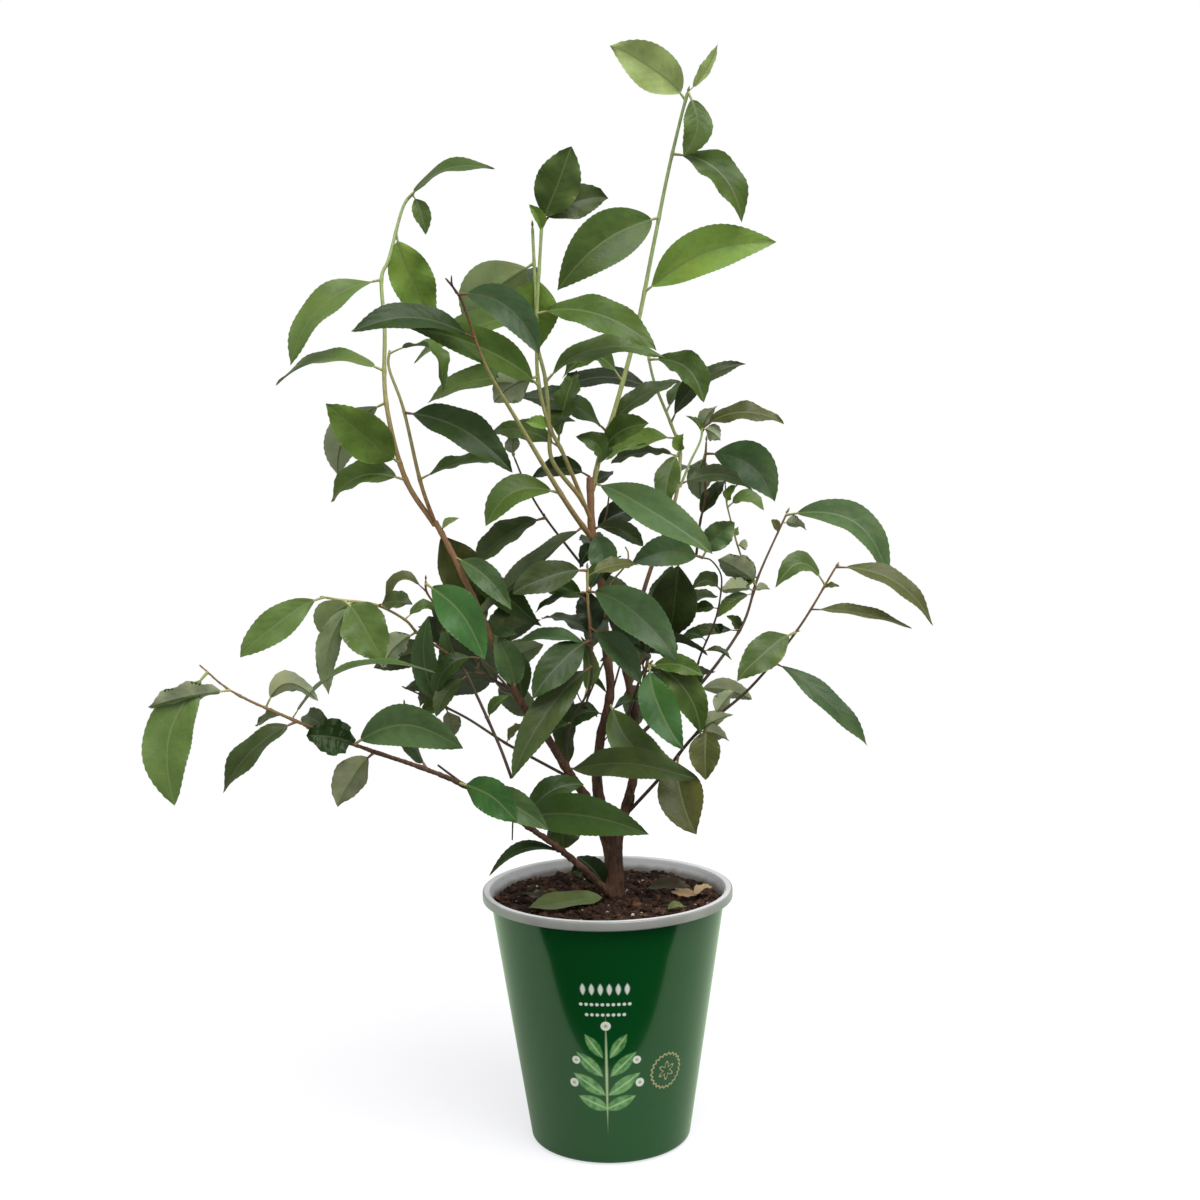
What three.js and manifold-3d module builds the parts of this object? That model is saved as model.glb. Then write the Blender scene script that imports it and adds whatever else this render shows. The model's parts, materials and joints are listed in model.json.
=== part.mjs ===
import * as THREE from "three";
import { mergeVertices } from "three/addons/utils/BufferGeometryUtils.js";
import Module from "manifold-3d";

const wasm = await Module();
wasm.setup();

// Millimetres, +Z up, the pot's underside on z = 0 and its axis on x = y = 0.
const GAP = 0.3;
const LIMB_SIDES = 6;
const LIMB_STEP = 14;
const FINEST_DETAIL = 0.04;

const POT = {
  height: 132,
  footRadius: 41.8,
  footRound: 2.6,
  neckRadius: 60.6,
  neckHeight: 126,
  rimRadius: 65,
  rimInner: 61.2,
  bandHeight: 4.4,
  bandThickness: 1.3,
  wall: 1.4,
  floor: 2,
  sides: 32,
};

const COMPOST = {
  edgeLevel: 124.3,
  crown: 125.9,
  flatRadius: 12.6,
  lump: 0.45,
  rings: [27, 43],
  sides: 30,
};

const TRUNK = {
  path: [[3, 2, 126.2], [3, 2, 132], [3.3, 1.5, 148], [3.1, 1.5, 164]],
  radii: [7.4, 5.7, 5.0, 5.2, 6.1],
  sides: 12,
};

const COLOURS = {
  potGreen: "#12401f",
  compost: "#33261b",
  bark: "#5a4636",
  youngBark: "#77703f",
  darkLeaf: "#2f4a25",
  midLeaf: "#4a6a38",
  brightLeaf: "#5f8a3c",
};

// Each limb runs from its foot through its bends to its tip and tapers evenly.
const LIMBS = {
  stem_middle: {
    path: [[0, 1, 158], [-4.9, 0, 190], [-3, -2, 212.5], [2.5, -3, 238.5], [0.4, -4, 262], [-1.8, -4, 302],
      [-5.6, -4, 321], [-6.2, -4, 347.5]],
    foot: 3.1,
    tip: 2.3,
    bark: true,
  },
  stem_right: {
    path: [[5, 3, 158], [10.6, 6, 177], [14.6, 9, 194], [15.4, 11.5, 215], [12.5, 13, 238], [7.8, 9.5, 260]],
    foot: 2.5,
    tip: 1.7,
    bark: true,
  },
  stem_left: {
    path: [[1, 0, 159], [-8.6, -6, 180], [-18, -12, 196], [-29.6, -19, 218], [-44, -25, 240.5],
      [-59.3, -29, 278], [-73.8, -29, 311], [-82.5, -26, 328]],
    foot: 3.1,
    tip: 1.7,
    bark: true,
  },
  bough_low_left: {
    path: [[2, -2, 129], [-10.6, -16, 147], [-30.6, -32, 169], [-70.3, -56, 203], [-116.8, -74, 226.5],
      [-145, -80, 240], [-168, -83.5, 252]],
    foot: 1.6,
    tip: 0.8,
    bark: true,
  },
  bough_left_side: {
    path: [[-59.5, -29, 270], [-75, -36, 271], [-91.3, -44, 276], [-112, -56, 290]],
    foot: 1.2,
    tip: 0.8,
  },
  bough_left_top: {
    path: [[-82.5, -26, 326], [-97.3, -20, 350], [-106.8, -10, 387], [-107.4, -3, 423], [-108, 2, 447],
      [-101, 6, 472]],
    foot: 1.5,
    tip: 0.9,
  },
  bough_front: {
    path: [[-22, -14, 206], [-17.2, -20, 225], [-7.5, -26, 246], [-6.9, -30, 268]],
    foot: 1.2,
    tip: 0.9,
  },
  bough_inner_left: {
    path: [[-5, -4, 316], [-18, -20, 336.5], [-38.3, -40, 373], [-54, -54, 402], [-60, -58, 416]],
    foot: 1.5,
    tip: 0.9,
  },
  bough_twin: {
    path: [[-5, -4, 324], [-19.2, -22, 359.5], [-25.7, -27, 374.5], [-30.3, -32, 406.5], [-31.2, -35, 427],
      [-31.8, -37, 455]],
    foot: 1.4,
    tip: 0.9,
  },
  bough_leader: {
    path: [[-5, -3, 341], [-0.8, 0, 359], [7, 4, 382], [18.6, 8, 421.5], [26.8, 10, 460], [34.5, 8, 496],
      [40.5, 4, 519]],
    foot: 1.6,
    tip: 0.8,
  },
  bough_right_top: {
    path: [[10.5, 10, 250], [16, 14, 272], [24.2, 20, 297.5], [37.4, 28, 332], [42, 32, 350]],
    foot: 1.4,
    tip: 1.0,
  },
  bough_right_upper: {
    path: [[14, 11, 209], [28.6, 18, 221], [48, 25, 233.5], [72.8, 36, 264], [83, 42, 291.5], [92, 45, 311]],
    foot: 1.3,
    tip: 0.8,
  },
  bough_right_low: {
    path: [[10, 5, 172], [28.6, -4, 194], [46.7, -14, 218], [72.2, -24, 242.5], [95.2, -32, 272.5],
      [107, -36, 291]],
    foot: 1.2,
    tip: 0.8,
  },
  bough_back: {
    path: [[15, 11, 217], [20, 34, 232], [25, 62, 249], [26, 80, 262]],
    foot: 1.4,
    tip: 0.9,
  },
  bough_left_back: {
    path: [[-46, -26, 242], [-60, -22, 257], [-69, -16, 262], [-78, -10, 260]],
    foot: 1.1,
    tip: 0.8,
  },
  bough_right_heart: {
    path: [[12.5, 12, 236], [20, 20, 250], [27, 27, 262]],
    foot: 1.2,
    tip: 0.9,
  },
  bough_back_left: {
    path: [[-44, -24, 240], [-52, 2, 238], [-60, 30, 243], [-62, 50, 250]],
    foot: 1.3,
    tip: 0.9,
  },
};

// Each mass is an uneven core that sends out sprays to the furthest leaf tips.
const MASSES = {
  leaves_leader_top: {
    centre: [42, 2, 524],
    core: [12, 11, 16],
    tint: "brightLeaf",
    tips: [[68, -20, 467], [43, -40, 501], [7, 8, 561], [59, -6, 557], [53, 45, 522], [20, 34, 530]],
  },
  leaves_leader: {
    centre: [27, 10, 452],
    core: [13, 12, 18],
    tint: "brightLeaf",
    tips: [[91, 30, 466], [-21, -30, 437], [33, 62, 464], [45, -25, 419], [10, 50, 434], [48, 0, 480]],
  },
  leaves_leader_foot: {
    centre: [4, 3, 368],
    core: [9, 9, 11],
    tint: "midLeaf",
    tips: [[-38, 2, 389], [42, 18, 397], [23, -22, 374], [4, 50, 350], [-12, 44, 372]],
  },
  leaves_left_top: {
    centre: [-101, 7, 468],
    core: [11, 11, 19],
    tint: "brightLeaf",
    tips: [[-54, -10, 495], [-89, -40, 466], [-80, -16, 431], [-128, 50, 457], [-93, 58, 470], [-91, 9, 497]],
  },
  leaves_left: {
    centre: [-107, -8, 396],
    core: [12, 12, 18],
    tint: "midLeaf",
    tips: [[-161, -22, 395], [-158, 20, 407], [-140, 40, 350], [-77, -2, 396], [-104, 50, 384], [-116, -46, 408]],
  },
  leaves_left_low: {
    centre: [-92, -24, 347],
    core: [12, 12, 14],
    tint: "midLeaf",
    tips: [[-130, -52, 386], [-132, -42, 338], [-49, -48, 353], [-52, 10, 364], [-106, 30, 322]],
  },
  leaves_twin_top: {
    centre: [-31, -37, 460],
    core: [11, 10, 17],
    tint: "brightLeaf",
    tips: [[-18, -30, 507], [3, -18, 482], [-57, -64, 423], [-25, -62, 414], [-42, 18, 458], [-8, -80, 450]],
  },
  leaves_twin: {
    centre: [-28, -31, 394],
    core: [12, 12, 15],
    tint: "midLeaf",
    tips: [[27, -50, 410], [20, -20, 392], [-91, -62, 428], [-84, -30, 394], [-34, 28, 402], [-6, -78, 382]],
  },
  leaves_inner_left: {
    centre: [-60, -60, 424],
    core: [9, 9, 14],
    tint: "midLeaf",
    tips: [[-28, -88, 406], [-116, -76, 421], [-72, -64, 448], [-52, -98, 388]],
  },
  leaves_right_top: {
    centre: [46, 34, 362],
    core: [14, 14, 19],
    tint: "midLeaf",
    tips: [[77, 50, 404], [95, 20, 373], [88, 22, 333], [33, 10, 334], [56, 18, 322], [86, 52, 326],
      [25, 40, 408], [55, 92, 356]],
  },
  leaves_right_upper: {
    centre: [94, 46, 316],
    core: [13, 12, 14],
    tint: "midLeaf",
    tips: [[150, 30, 287], [114, 76, 314], [78, 70, 286], [62, 42, 301], [112, 96, 318], [98, 6, 326]],
  },
  leaves_far_right: {
    centre: [109, -37, 294],
    core: [11, 11, 11],
    tint: "midLeaf",
    tips: [[159, -50, 276], [82, -60, 298], [153, -20, 271], [114, -66, 310], [125, 12, 270]],
  },
  leaves_right_side: {
    centre: [84, -27, 255],
    core: [10, 10, 11],
    tint: "midLeaf",
    tips: [[128, -50, 218], [63, -72, 254], [74, 2, 228], [106, 22, 252]],
  },
  leaves_right_front: {
    centre: [40, -20, 224],
    core: [14, 12, 15],
    tint: "brightLeaf",
    tips: [[44, -38, 172], [-14, -58, 219], [36, -76, 222], [62, -62, 243], [54, -8, 190], [17, -4, 208]],
  },
  leaves_right_heart: {
    centre: [33, 34, 274],
    core: [17, 15, 19],
    tint: "darkLeaf",
    tips: [[58, 14, 306], [71, 52, 246], [58, 80, 258], [66, 62, 290], [12, 44, 302], [18, 30, 231]],
  },
  leaves_front: {
    centre: [-7, -35, 280],
    core: [14, 11, 19],
    tint: "brightLeaf",
    tips: [[33, -70, 264], [19, -62, 246], [-38, -60, 303], [-56, -68, 288], [-34, -76, 248], [-42, -58, 218],
      [26, -50, 308], [-6, -88, 284]],
  },
  leaves_left_middle: {
    centre: [-74, -37, 300],
    core: [13, 10, 16],
    tint: "midLeaf",
    tips: [[-55, -82, 268], [-52, -64, 323], [-42, -60, 264], [-84, -72, 334], [-98, -78, 296]],
  },
  leaves_left_back: {
    centre: [-84, -8, 258],
    core: [12, 12, 14],
    tint: "darkLeaf",
    tips: [[-92, -14, 222], [-80, 14, 290], [-64, -12, 238], [-96, 24, 222], [-74, 50, 256], [-110, 30, 262]],
  },
  leaves_left_side: {
    centre: [-119, -61, 291],
    core: [11, 10, 7],
    tint: "brightLeaf",
    tips: [[-167, -82, 273], [-136, -72, 252], [-104, -88, 268], [-92, -66, 292], [-136, -10, 284]],
  },
  leaves_far_left: {
    centre: [-174, -84, 254],
    core: [13, 10, 6],
    tint: "brightLeaf",
    tips: [[-201, -96, 205], [-218, -78, 250], [-186, -68, 204], [-164, -60, 236], [-190, -110, 262], [-197, -86, 274]],
  },
  leaves_low_left: {
    centre: [-128, -77, 230],
    core: [14, 11, 6],
    tint: "midLeaf",
    tips: [[-82, -62, 255], [-140, -56, 244], [-142, -104, 228], [-68, -82, 226], [-127, -86, 200], [-114, -44, 222]],
  },
  leaves_low_front: {
    centre: [-48, -47, 192],
    core: [13, 9, 6],
    tint: "darkLeaf",
    tips: [[-72, -62, 214], [-44, -82, 190], [-30, -76, 178], [16, -64, 181], [-64, -60, 161], [-62, -14, 186]],
  },
  leaves_back: {
    centre: [26, 88, 270],
    core: [16, 13, 15],
    tint: "darkLeaf",
    tips: [[60, 108, 294], [-8, 96, 294], [6, 104, 242], [52, 112, 234], [26, 140, 266], [28, 92, 318]],
  },
  leaves_back_left: {
    centre: [-62, 58, 255],
    core: [14, 13, 14],
    tint: "darkLeaf",
    tips: [[-92, 82, 276], [-36, 84, 226], [-80, 94, 224], [-58, 98, 276], [-68, 124, 244], [-34, 54, 268]],
  },
};

const SPRAY_WIDTH = 0.33;
const CORE_UNEVEN = 0.16;
const PAD_PASSES = 60;

function material(colour, roughness) {
  return new THREE.MeshStandardMaterial({
    color: colour,
    roughness,
    metalness: 0,
  });
}

function solidFrom(positions, index) {
  return new wasm.Manifold(new wasm.Mesh({
    numProp: 3,
    vertProperties: Float32Array.from(positions),
    triVerts: Uint32Array.from(index),
  }));
}

function meshFrom(name, solid, paint) {
  const data = solid.getMesh();
  const shape = new THREE.BufferGeometry();
  shape.setAttribute("position", new THREE.BufferAttribute(Float32Array.from(data.vertProperties), 3));
  shape.setIndex(Array.from(data.triVerts));
  shape.computeVertexNormals();
  const mesh = new THREE.Mesh(shape, paint);
  mesh.name = name;
  return mesh;
}

function wholePiece(solid) {
  const pieces = solid.decompose();
  pieces.sort((a, b) => b.volume() - a.volume());
  return pieces[0].simplify(FINEST_DETAIL);
}

// A pointed ball of stacked rings, closed by a fan at each end.
function ringSolid(rings, start, end) {
  const sides = rings[0].length;
  const positions = rings.flat().flatMap((p) => [p.x, p.y, p.z]);
  const index = [];
  for (let ring = 0; ring < rings.length - 1; ring += 1) {
    for (let side = 0; side < sides; side += 1) {
      const next = (side + 1) % sides;
      const a = ring * sides + side;
      const b = ring * sides + next;
      index.push(a, b, b + sides, a, b + sides, a + sides);
    }
  }
  const startIndex = rings.length * sides;
  positions.push(start.x, start.y, start.z, end.x, end.y, end.z);
  const last = (rings.length - 1) * sides;
  for (let side = 0; side < sides; side += 1) {
    const next = (side + 1) % sides;
    index.push(startIndex, next, side);
    index.push(startIndex + 1, last + side, last + next);
  }
  return solidFrom(positions, index);
}

function taperAt(radii, share) {
  const place = share * (radii.length - 1);
  const low = Math.min(Math.floor(place), radii.length - 2);
  return THREE.MathUtils.lerp(radii[low], radii[low + 1], place - low);
}

function limbSolid(points, radii, sides, pad = 0) {
  const curve = new THREE.CatmullRomCurve3(points.map((p) => new THREE.Vector3(...p)), false, "centripetal");
  const steps = Math.max(3, Math.round(curve.getLength() / LIMB_STEP));
  const frames = curve.computeFrenetFrames(steps, false);
  const rings = [];
  for (let step = 0; step <= steps; step += 1) {
    const share = step / steps;
    const centre = curve.getPointAt(share);
    const radius = taperAt(radii, share) + pad;
    if (step === 0) centre.addScaledVector(frames.tangents[0], -pad);
    if (step === steps) centre.addScaledVector(frames.tangents[steps], pad);
    const ring = [];
    for (let side = 0; side < sides; side += 1) {
      const angle = (side / sides) * Math.PI * 2;
      const out = frames.normals[step].clone().multiplyScalar(Math.cos(angle) * radius);
      out.addScaledVector(frames.binormals[step], Math.sin(angle) * radius);
      ring.push(out.add(centre));
    }
    rings.push(ring);
  }
  const start = curve.getPointAt(0).addScaledVector(frames.tangents[0], -pad);
  const end = curve.getPointAt(1).addScaledVector(frames.tangents[steps], pad);
  return ringSolid(rings, start, end);
}

function coreReach(direction, core, seed) {
  const [a, b, c] = core;
  const ball = 1 / Math.hypot(direction.x / a, direction.y / b, direction.z / c);
  const wave = Math.sin(direction.x * 5.1 + seed) + Math.sin(direction.y * 6.3 + seed * 2)
    + Math.sin(direction.z * 4.7 + seed * 3);
  return ball * (1 + CORE_UNEVEN * wave / 1.5);
}

function massSolid(mass, seed, pad = 0) {
  const bare = new THREE.IcosahedronGeometry(1, 2);
  bare.deleteAttribute("normal");
  bare.deleteAttribute("uv");
  const ball = mergeVertices(bare, 1e-4);
  const centre = new THREE.Vector3(...mass.centre);
  const place = ball.getAttribute("position");
  const directions = [];
  for (let i = 0; i < place.count; i += 1) {
    directions.push(new THREE.Vector3().fromBufferAttribute(place, i).normalize());
  }
  const sprays = mass.tips.map((tip) => {
    const out = new THREE.Vector3(...tip).sub(centre);
    return { length: out.length(), toward: out.normalize() };
  });
  const taken = new Map();
  for (const spray of sprays) {
    let best = -1;
    directions.forEach((direction, i) => {
      if (taken.has(i)) return;
      if (best < 0 || direction.dot(spray.toward) > directions[best].dot(spray.toward)) best = i;
    });
    taken.set(best, spray);
    directions[best] = spray.toward.clone();
  }
  directions.forEach((direction, i) => {
    let reach = coreReach(direction, mass.core, seed);
    const own = taken.get(i);
    for (const spray of sprays) {
      const turn = direction.angleTo(spray.toward) / SPRAY_WIDTH;
      reach = Math.max(reach, reach + (spray.length - reach) * Math.exp(-turn * turn));
    }
    if (own) reach = own.length;
    const spot = direction.clone().multiplyScalar(reach).add(centre);
    place.setXYZ(i, spot.x, spot.y, spot.z);
  });
  if (pad > 0) pushOut(ball, pad);
  return solidFrom(ball.getAttribute("position").array, ball.index.array);
}

// Moves every face out by the pad, by moving each corner clear of all the faces that meet there.
function pushOut(shape, pad) {
  const place = shape.getAttribute("position");
  const corners = Array.from({ length: place.count }, (_, i) => new THREE.Vector3().fromBufferAttribute(place, i));
  const facesAt = corners.map(() => []);
  for (let i = 0; i < shape.index.count; i += 3) {
    const face = [0, 1, 2].map((k) => shape.index.getX(i + k));
    const normal = new THREE.Triangle(...face.map((k) => corners[k])).getNormal(new THREE.Vector3());
    face.forEach((k) => facesAt[k].push(normal));
  }
  corners.forEach((corner, i) => {
    const move = new THREE.Vector3();
    for (let pass = 0; pass < PAD_PASSES; pass += 1) {
      for (const normal of facesAt[i]) {
        const short = pad - move.dot(normal);
        if (short > 0) move.addScaledVector(normal, short);
      }
    }
    place.setXYZ(i, corner.x + move.x, corner.y + move.y, corner.z + move.z);
  });
}

function lathe(profile, sides) {
  const turned = new THREE.LatheGeometry(profile.map(([r, z]) => new THREE.Vector2(r, z)), sides);
  turned.deleteAttribute("normal");
  turned.deleteAttribute("uv");
  turned.rotateX(Math.PI / 2);
  const merged = mergeVertices(turned, 1e-4);
  const index = [];
  for (let i = 0; i < merged.index.count; i += 3) {
    const [a, b, c] = [merged.index.getX(i), merged.index.getX(i + 1), merged.index.getX(i + 2)];
    if (a !== b && b !== c && a !== c) index.push(a, b, c);
  }
  const solid = solidFrom(merged.getAttribute("position").array, index);
  return solid.volume() > 0 ? solid : solidFrom(merged.getAttribute("position").array, index.reverse());
}

function wallRadius(height) {
  const share = (height - POT.footRound) / (POT.neckHeight - POT.footRound);
  return THREE.MathUtils.lerp(POT.footRadius, POT.neckRadius, share);
}

function potSolid() {
  const { height, footRadius, footRound, neckRadius, neckHeight, rimRadius, rimInner, wall, floor } = POT;
  const bandFoot = height - POT.bandHeight;
  const bandInner = rimRadius - POT.bandThickness;
  const underRim = height - 1.5;
  return lathe([
    [0, 0],
    [footRadius - footRound, 0],
    [footRadius - footRound * 0.35, footRound * 0.27],
    [footRadius, footRound],
    [neckRadius, neckHeight],
    [rimInner - 0.4, underRim],
    [bandInner, underRim],
    [bandInner, bandFoot],
    [rimRadius, bandFoot],
    [rimRadius, height - 0.8],
    [rimRadius - 0.8, height],
    [rimInner, height],
    [rimInner - 1, height - 0.9],
    [neckRadius - wall, neckHeight - 0.2],
    [wallRadius(floor + 1.6) - wall, floor + 1.6],
    [footRadius - footRound, floor],
    [0, floor],
  ], POT.sides);
}

function compostSolid() {
  const { edgeLevel, crown, flatRadius, lump, rings, sides } = COMPOST;
  const inner = (height) => wallRadius(height) - POT.wall - GAP - 0.15;
  const bottom = POT.floor + GAP;
  const levels = [
    { radius: POT.footRadius - POT.footRound - GAP, height: bottom },
    { radius: inner(bottom + 2), height: bottom + 2 },
    { radius: inner(edgeLevel), height: edgeLevel },
  ];
  for (const radius of [...rings].reverse()) {
    const slope = (radius - flatRadius) / (inner(edgeLevel) - flatRadius);
    levels.push({ radius, height: THREE.MathUtils.lerp(crown, edgeLevel, slope ** 0.8), uneven: lump });
  }
  levels.push({ radius: flatRadius, height: crown });
  const stack = levels.map(({ radius, height, uneven = 0 }) => {
    const ring = [];
    for (let side = 0; side < sides; side += 1) {
      const angle = (side / sides) * Math.PI * 2;
      const bump = uneven * (Math.sin(angle * 5 + radius) + Math.sin(angle * 11 + radius * 2)) / 2;
      ring.push(new THREE.Vector3(Math.cos(angle) * radius, Math.sin(angle) * radius, height + bump));
    }
    return ring;
  });
  return ringSolid(stack, new THREE.Vector3(0, 0, bottom), new THREE.Vector3(0, 0, crown));
}

function buildLimbs() {
  const limbs = [];
  const trunk = limbSolid(TRUNK.path, TRUNK.radii, TRUNK.sides);
  const paddedTrunk = limbSolid(TRUNK.path, TRUNK.radii, TRUNK.sides, GAP);
  limbs.push({ name: "trunk", solid: trunk, padded: paddedTrunk, bark: true });
  for (const [name, limb] of Object.entries(LIMBS)) {
    const radii = [limb.foot, limb.tip];
    const whole = limbSolid(limb.path, radii, LIMB_SIDES);
    const padded = limbSolid(limb.path, radii, LIMB_SIDES, GAP);
    const cut = limbs.reduce((rest, earlier) => rest.subtract(earlier.padded), whole);
    limbs.push({ name, solid: wholePiece(cut), padded, bark: limb.bark });
  }
  return limbs;
}

function buildMasses(limbs) {
  const limbCutter = limbs.map((limb) => limb.padded).reduce((all, next) => all.add(next));
  const masses = [];
  Object.entries(MASSES).forEach(([name, mass], number) => {
    const whole = massSolid(mass, number);
    const padded = massSolid(mass, number, GAP);
    const clear = whole.subtract(limbCutter);
    const cut = masses.reduce((rest, earlier) => rest.subtract(earlier.padded), clear);
    masses.push({ name, solid: wholePiece(cut), padded, tint: mass.tint });
  });
  return masses;
}

function teaBush() {
  const group = new THREE.Group();
  group.name = "tea_bush";
  group.add(meshFrom("pot", potSolid(), material(COLOURS.potGreen, 0.3)));
  group.add(meshFrom("compost", compostSolid(), material(COLOURS.compost, 0.95)));
  const limbs = buildLimbs();
  for (const limb of limbs) {
    const paint = material(limb.bark ? COLOURS.bark : COLOURS.youngBark, limb.bark ? 0.85 : 0.6);
    group.add(meshFrom(limb.name, limb.solid, paint));
  }
  for (const mass of buildMasses(limbs)) {
    group.add(meshFrom(mass.name, mass.solid, material(COLOURS[mass.tint], 0.45)));
  }
  return group;
}

export default teaBush();
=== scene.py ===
import json
import math
import random
import bpy
import numpy as np
from mathutils import Matrix, Vector, noise


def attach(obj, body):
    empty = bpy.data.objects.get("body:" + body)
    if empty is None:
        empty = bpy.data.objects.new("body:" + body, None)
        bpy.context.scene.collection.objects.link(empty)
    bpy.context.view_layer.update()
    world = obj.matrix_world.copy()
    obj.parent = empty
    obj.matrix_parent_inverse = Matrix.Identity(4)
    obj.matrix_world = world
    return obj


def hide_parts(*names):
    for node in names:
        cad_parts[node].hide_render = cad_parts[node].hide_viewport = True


# A young tea bush in its printed nursery pot. The frame is in metres; plant sizes here are in mm.
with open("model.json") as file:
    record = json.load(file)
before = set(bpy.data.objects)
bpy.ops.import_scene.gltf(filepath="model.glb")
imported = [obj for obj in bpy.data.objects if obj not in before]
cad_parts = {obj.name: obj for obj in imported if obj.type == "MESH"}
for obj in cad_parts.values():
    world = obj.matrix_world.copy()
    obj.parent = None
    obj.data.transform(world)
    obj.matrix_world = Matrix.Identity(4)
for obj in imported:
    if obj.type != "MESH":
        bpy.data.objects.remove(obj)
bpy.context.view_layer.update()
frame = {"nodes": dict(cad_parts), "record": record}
mm = 0.001
print("frame loaded:", len(frame["nodes"]), "nodes")


def srgb(red, green, blue):
    # a screen colour, 0 to 255, as the linear colour that a shader takes
    def linear(value):
        value /= 255
        return value / 12.92 if value <= 0.04045 else ((value + 0.055) / 1.055) ** 2.4
    return (linear(red), linear(green), linear(blue), 1)


def nodesOf(slots):
    return [part["node"] for part in frame["record"]["subparts"] if part["material_slot"] in slots]


view = {"place": (-0.0015, -0.86, 0.3668), "tiltDown": 5.63, "roll": -0.92, "lens": 50.6, "film": 36}

cameraData = bpy.data.cameras.new("camera")
cameraData.lens = view["lens"]
cameraData.sensor_width = view["film"]
cameraData.clip_start = 0.01
camera = bpy.data.objects.new("camera", cameraData)
bpy.context.collection.objects.link(camera)
camera.matrix_world = (
    Matrix.Translation(view["place"])
    @ Matrix.Rotation(math.radians(90 - view["tiltDown"]), 4, "X")
    @ Matrix.Rotation(math.radians(view["roll"]), 4, "Z")
)
bpy.context.scene.camera = camera
bpy.context.scene.view_settings.view_transform = "Standard"

studio = {
    "zenith": 0.62, "horizon": 0.5, "below": 0.16,  # strength of the light from above, around and below
    "sun": {"strength": 2.3, "spread": 38, "from": (0.28, -0.5, 1.0)},
}

# the surroundings look plain white, and light the plant more from above than from below
world = bpy.data.worlds.new("studio")
world.use_nodes = True
wires = world.node_tree
ray = wires.nodes.new("ShaderNodeLightPath")
heading = wires.nodes.new("ShaderNodeTexCoord")
split = wires.nodes.new("ShaderNodeSeparateXYZ")
level = wires.nodes.new("ShaderNodeFloatCurve")
brighter = wires.nodes.new("ShaderNodeMath")
brighter.operation = "MAXIMUM"
curve = level.mapping.curves[0]
curve.points[0].location = (0.38, studio["below"])
curve.points[1].location = (1, studio["zenith"])
curve.points.new(0.5, studio["horizon"])
level.mapping.update()
lift = wires.nodes.new("ShaderNodeMath")
lift.operation = "MULTIPLY_ADD"
lift.inputs[1].default_value = 0.5
lift.inputs[2].default_value = 0.5
wires.links.new(heading.outputs["Generated"], split.inputs[0])
wires.links.new(split.outputs["Z"], lift.inputs[0])
wires.links.new(lift.outputs[0], level.inputs["Value"])
wires.links.new(level.outputs[0], brighter.inputs[0])
wires.links.new(ray.outputs["Is Camera Ray"], brighter.inputs[1])
sky = wires.nodes["Background"]
sky.inputs["Color"].default_value = (1, 1, 1, 1)
wires.links.new(brighter.outputs[0], sky.inputs["Strength"])
bpy.context.scene.world = world

sunData = bpy.data.lights.new("softSun", "SUN")
sunData.energy = studio["sun"]["strength"]
sunData.angle = math.radians(studio["sun"]["spread"])
sun = bpy.data.objects.new("softSun", sunData)
sun.rotation_euler = Vector(studio["sun"]["from"]).to_track_quat("Z", "Y").to_euler()
bpy.context.collection.objects.link(sun)


class Wire:
    # a shader socket that takes part in plain arithmetic
    def __init__(self, shader, socket):
        self.shader = shader
        self.socket = socket

    def calc(self, operation, *values):
        inputs = dict(enumerate(values))
        return self.shader.node("ShaderNodeMath", {"operation": operation}, inputs)

    def __add__(self, other):
        return self.calc("ADD", self, other)

    def __radd__(self, other):
        return self.calc("ADD", other, self)

    def __sub__(self, other):
        return self.calc("SUBTRACT", self, other)

    def __rsub__(self, other):
        return self.calc("SUBTRACT", other, self)

    def __mul__(self, other):
        return self.calc("MULTIPLY", self, other)

    def __rmul__(self, other):
        return self.calc("MULTIPLY", other, self)

    def __truediv__(self, other):
        return self.calc("DIVIDE", self, other)

    def __pow__(self, other):
        return self.calc("POWER", self, other)

    def abs(self):
        return self.calc("ABSOLUTE", self)

    def fract(self):
        return self.calc("FRACT", self)

    def atLeast(self, other):
        return self.calc("MAXIMUM", self, other)

    def step(self, low, high):
        # 0 below low and 1 above high, with a soft rise between them
        settings = {"interpolation_type": "SMOOTHSTEP"}
        inputs = {"Value": self, "From Min": low, "From Max": high}
        return self.shader.node("ShaderNodeMapRange", settings, inputs)


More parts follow.
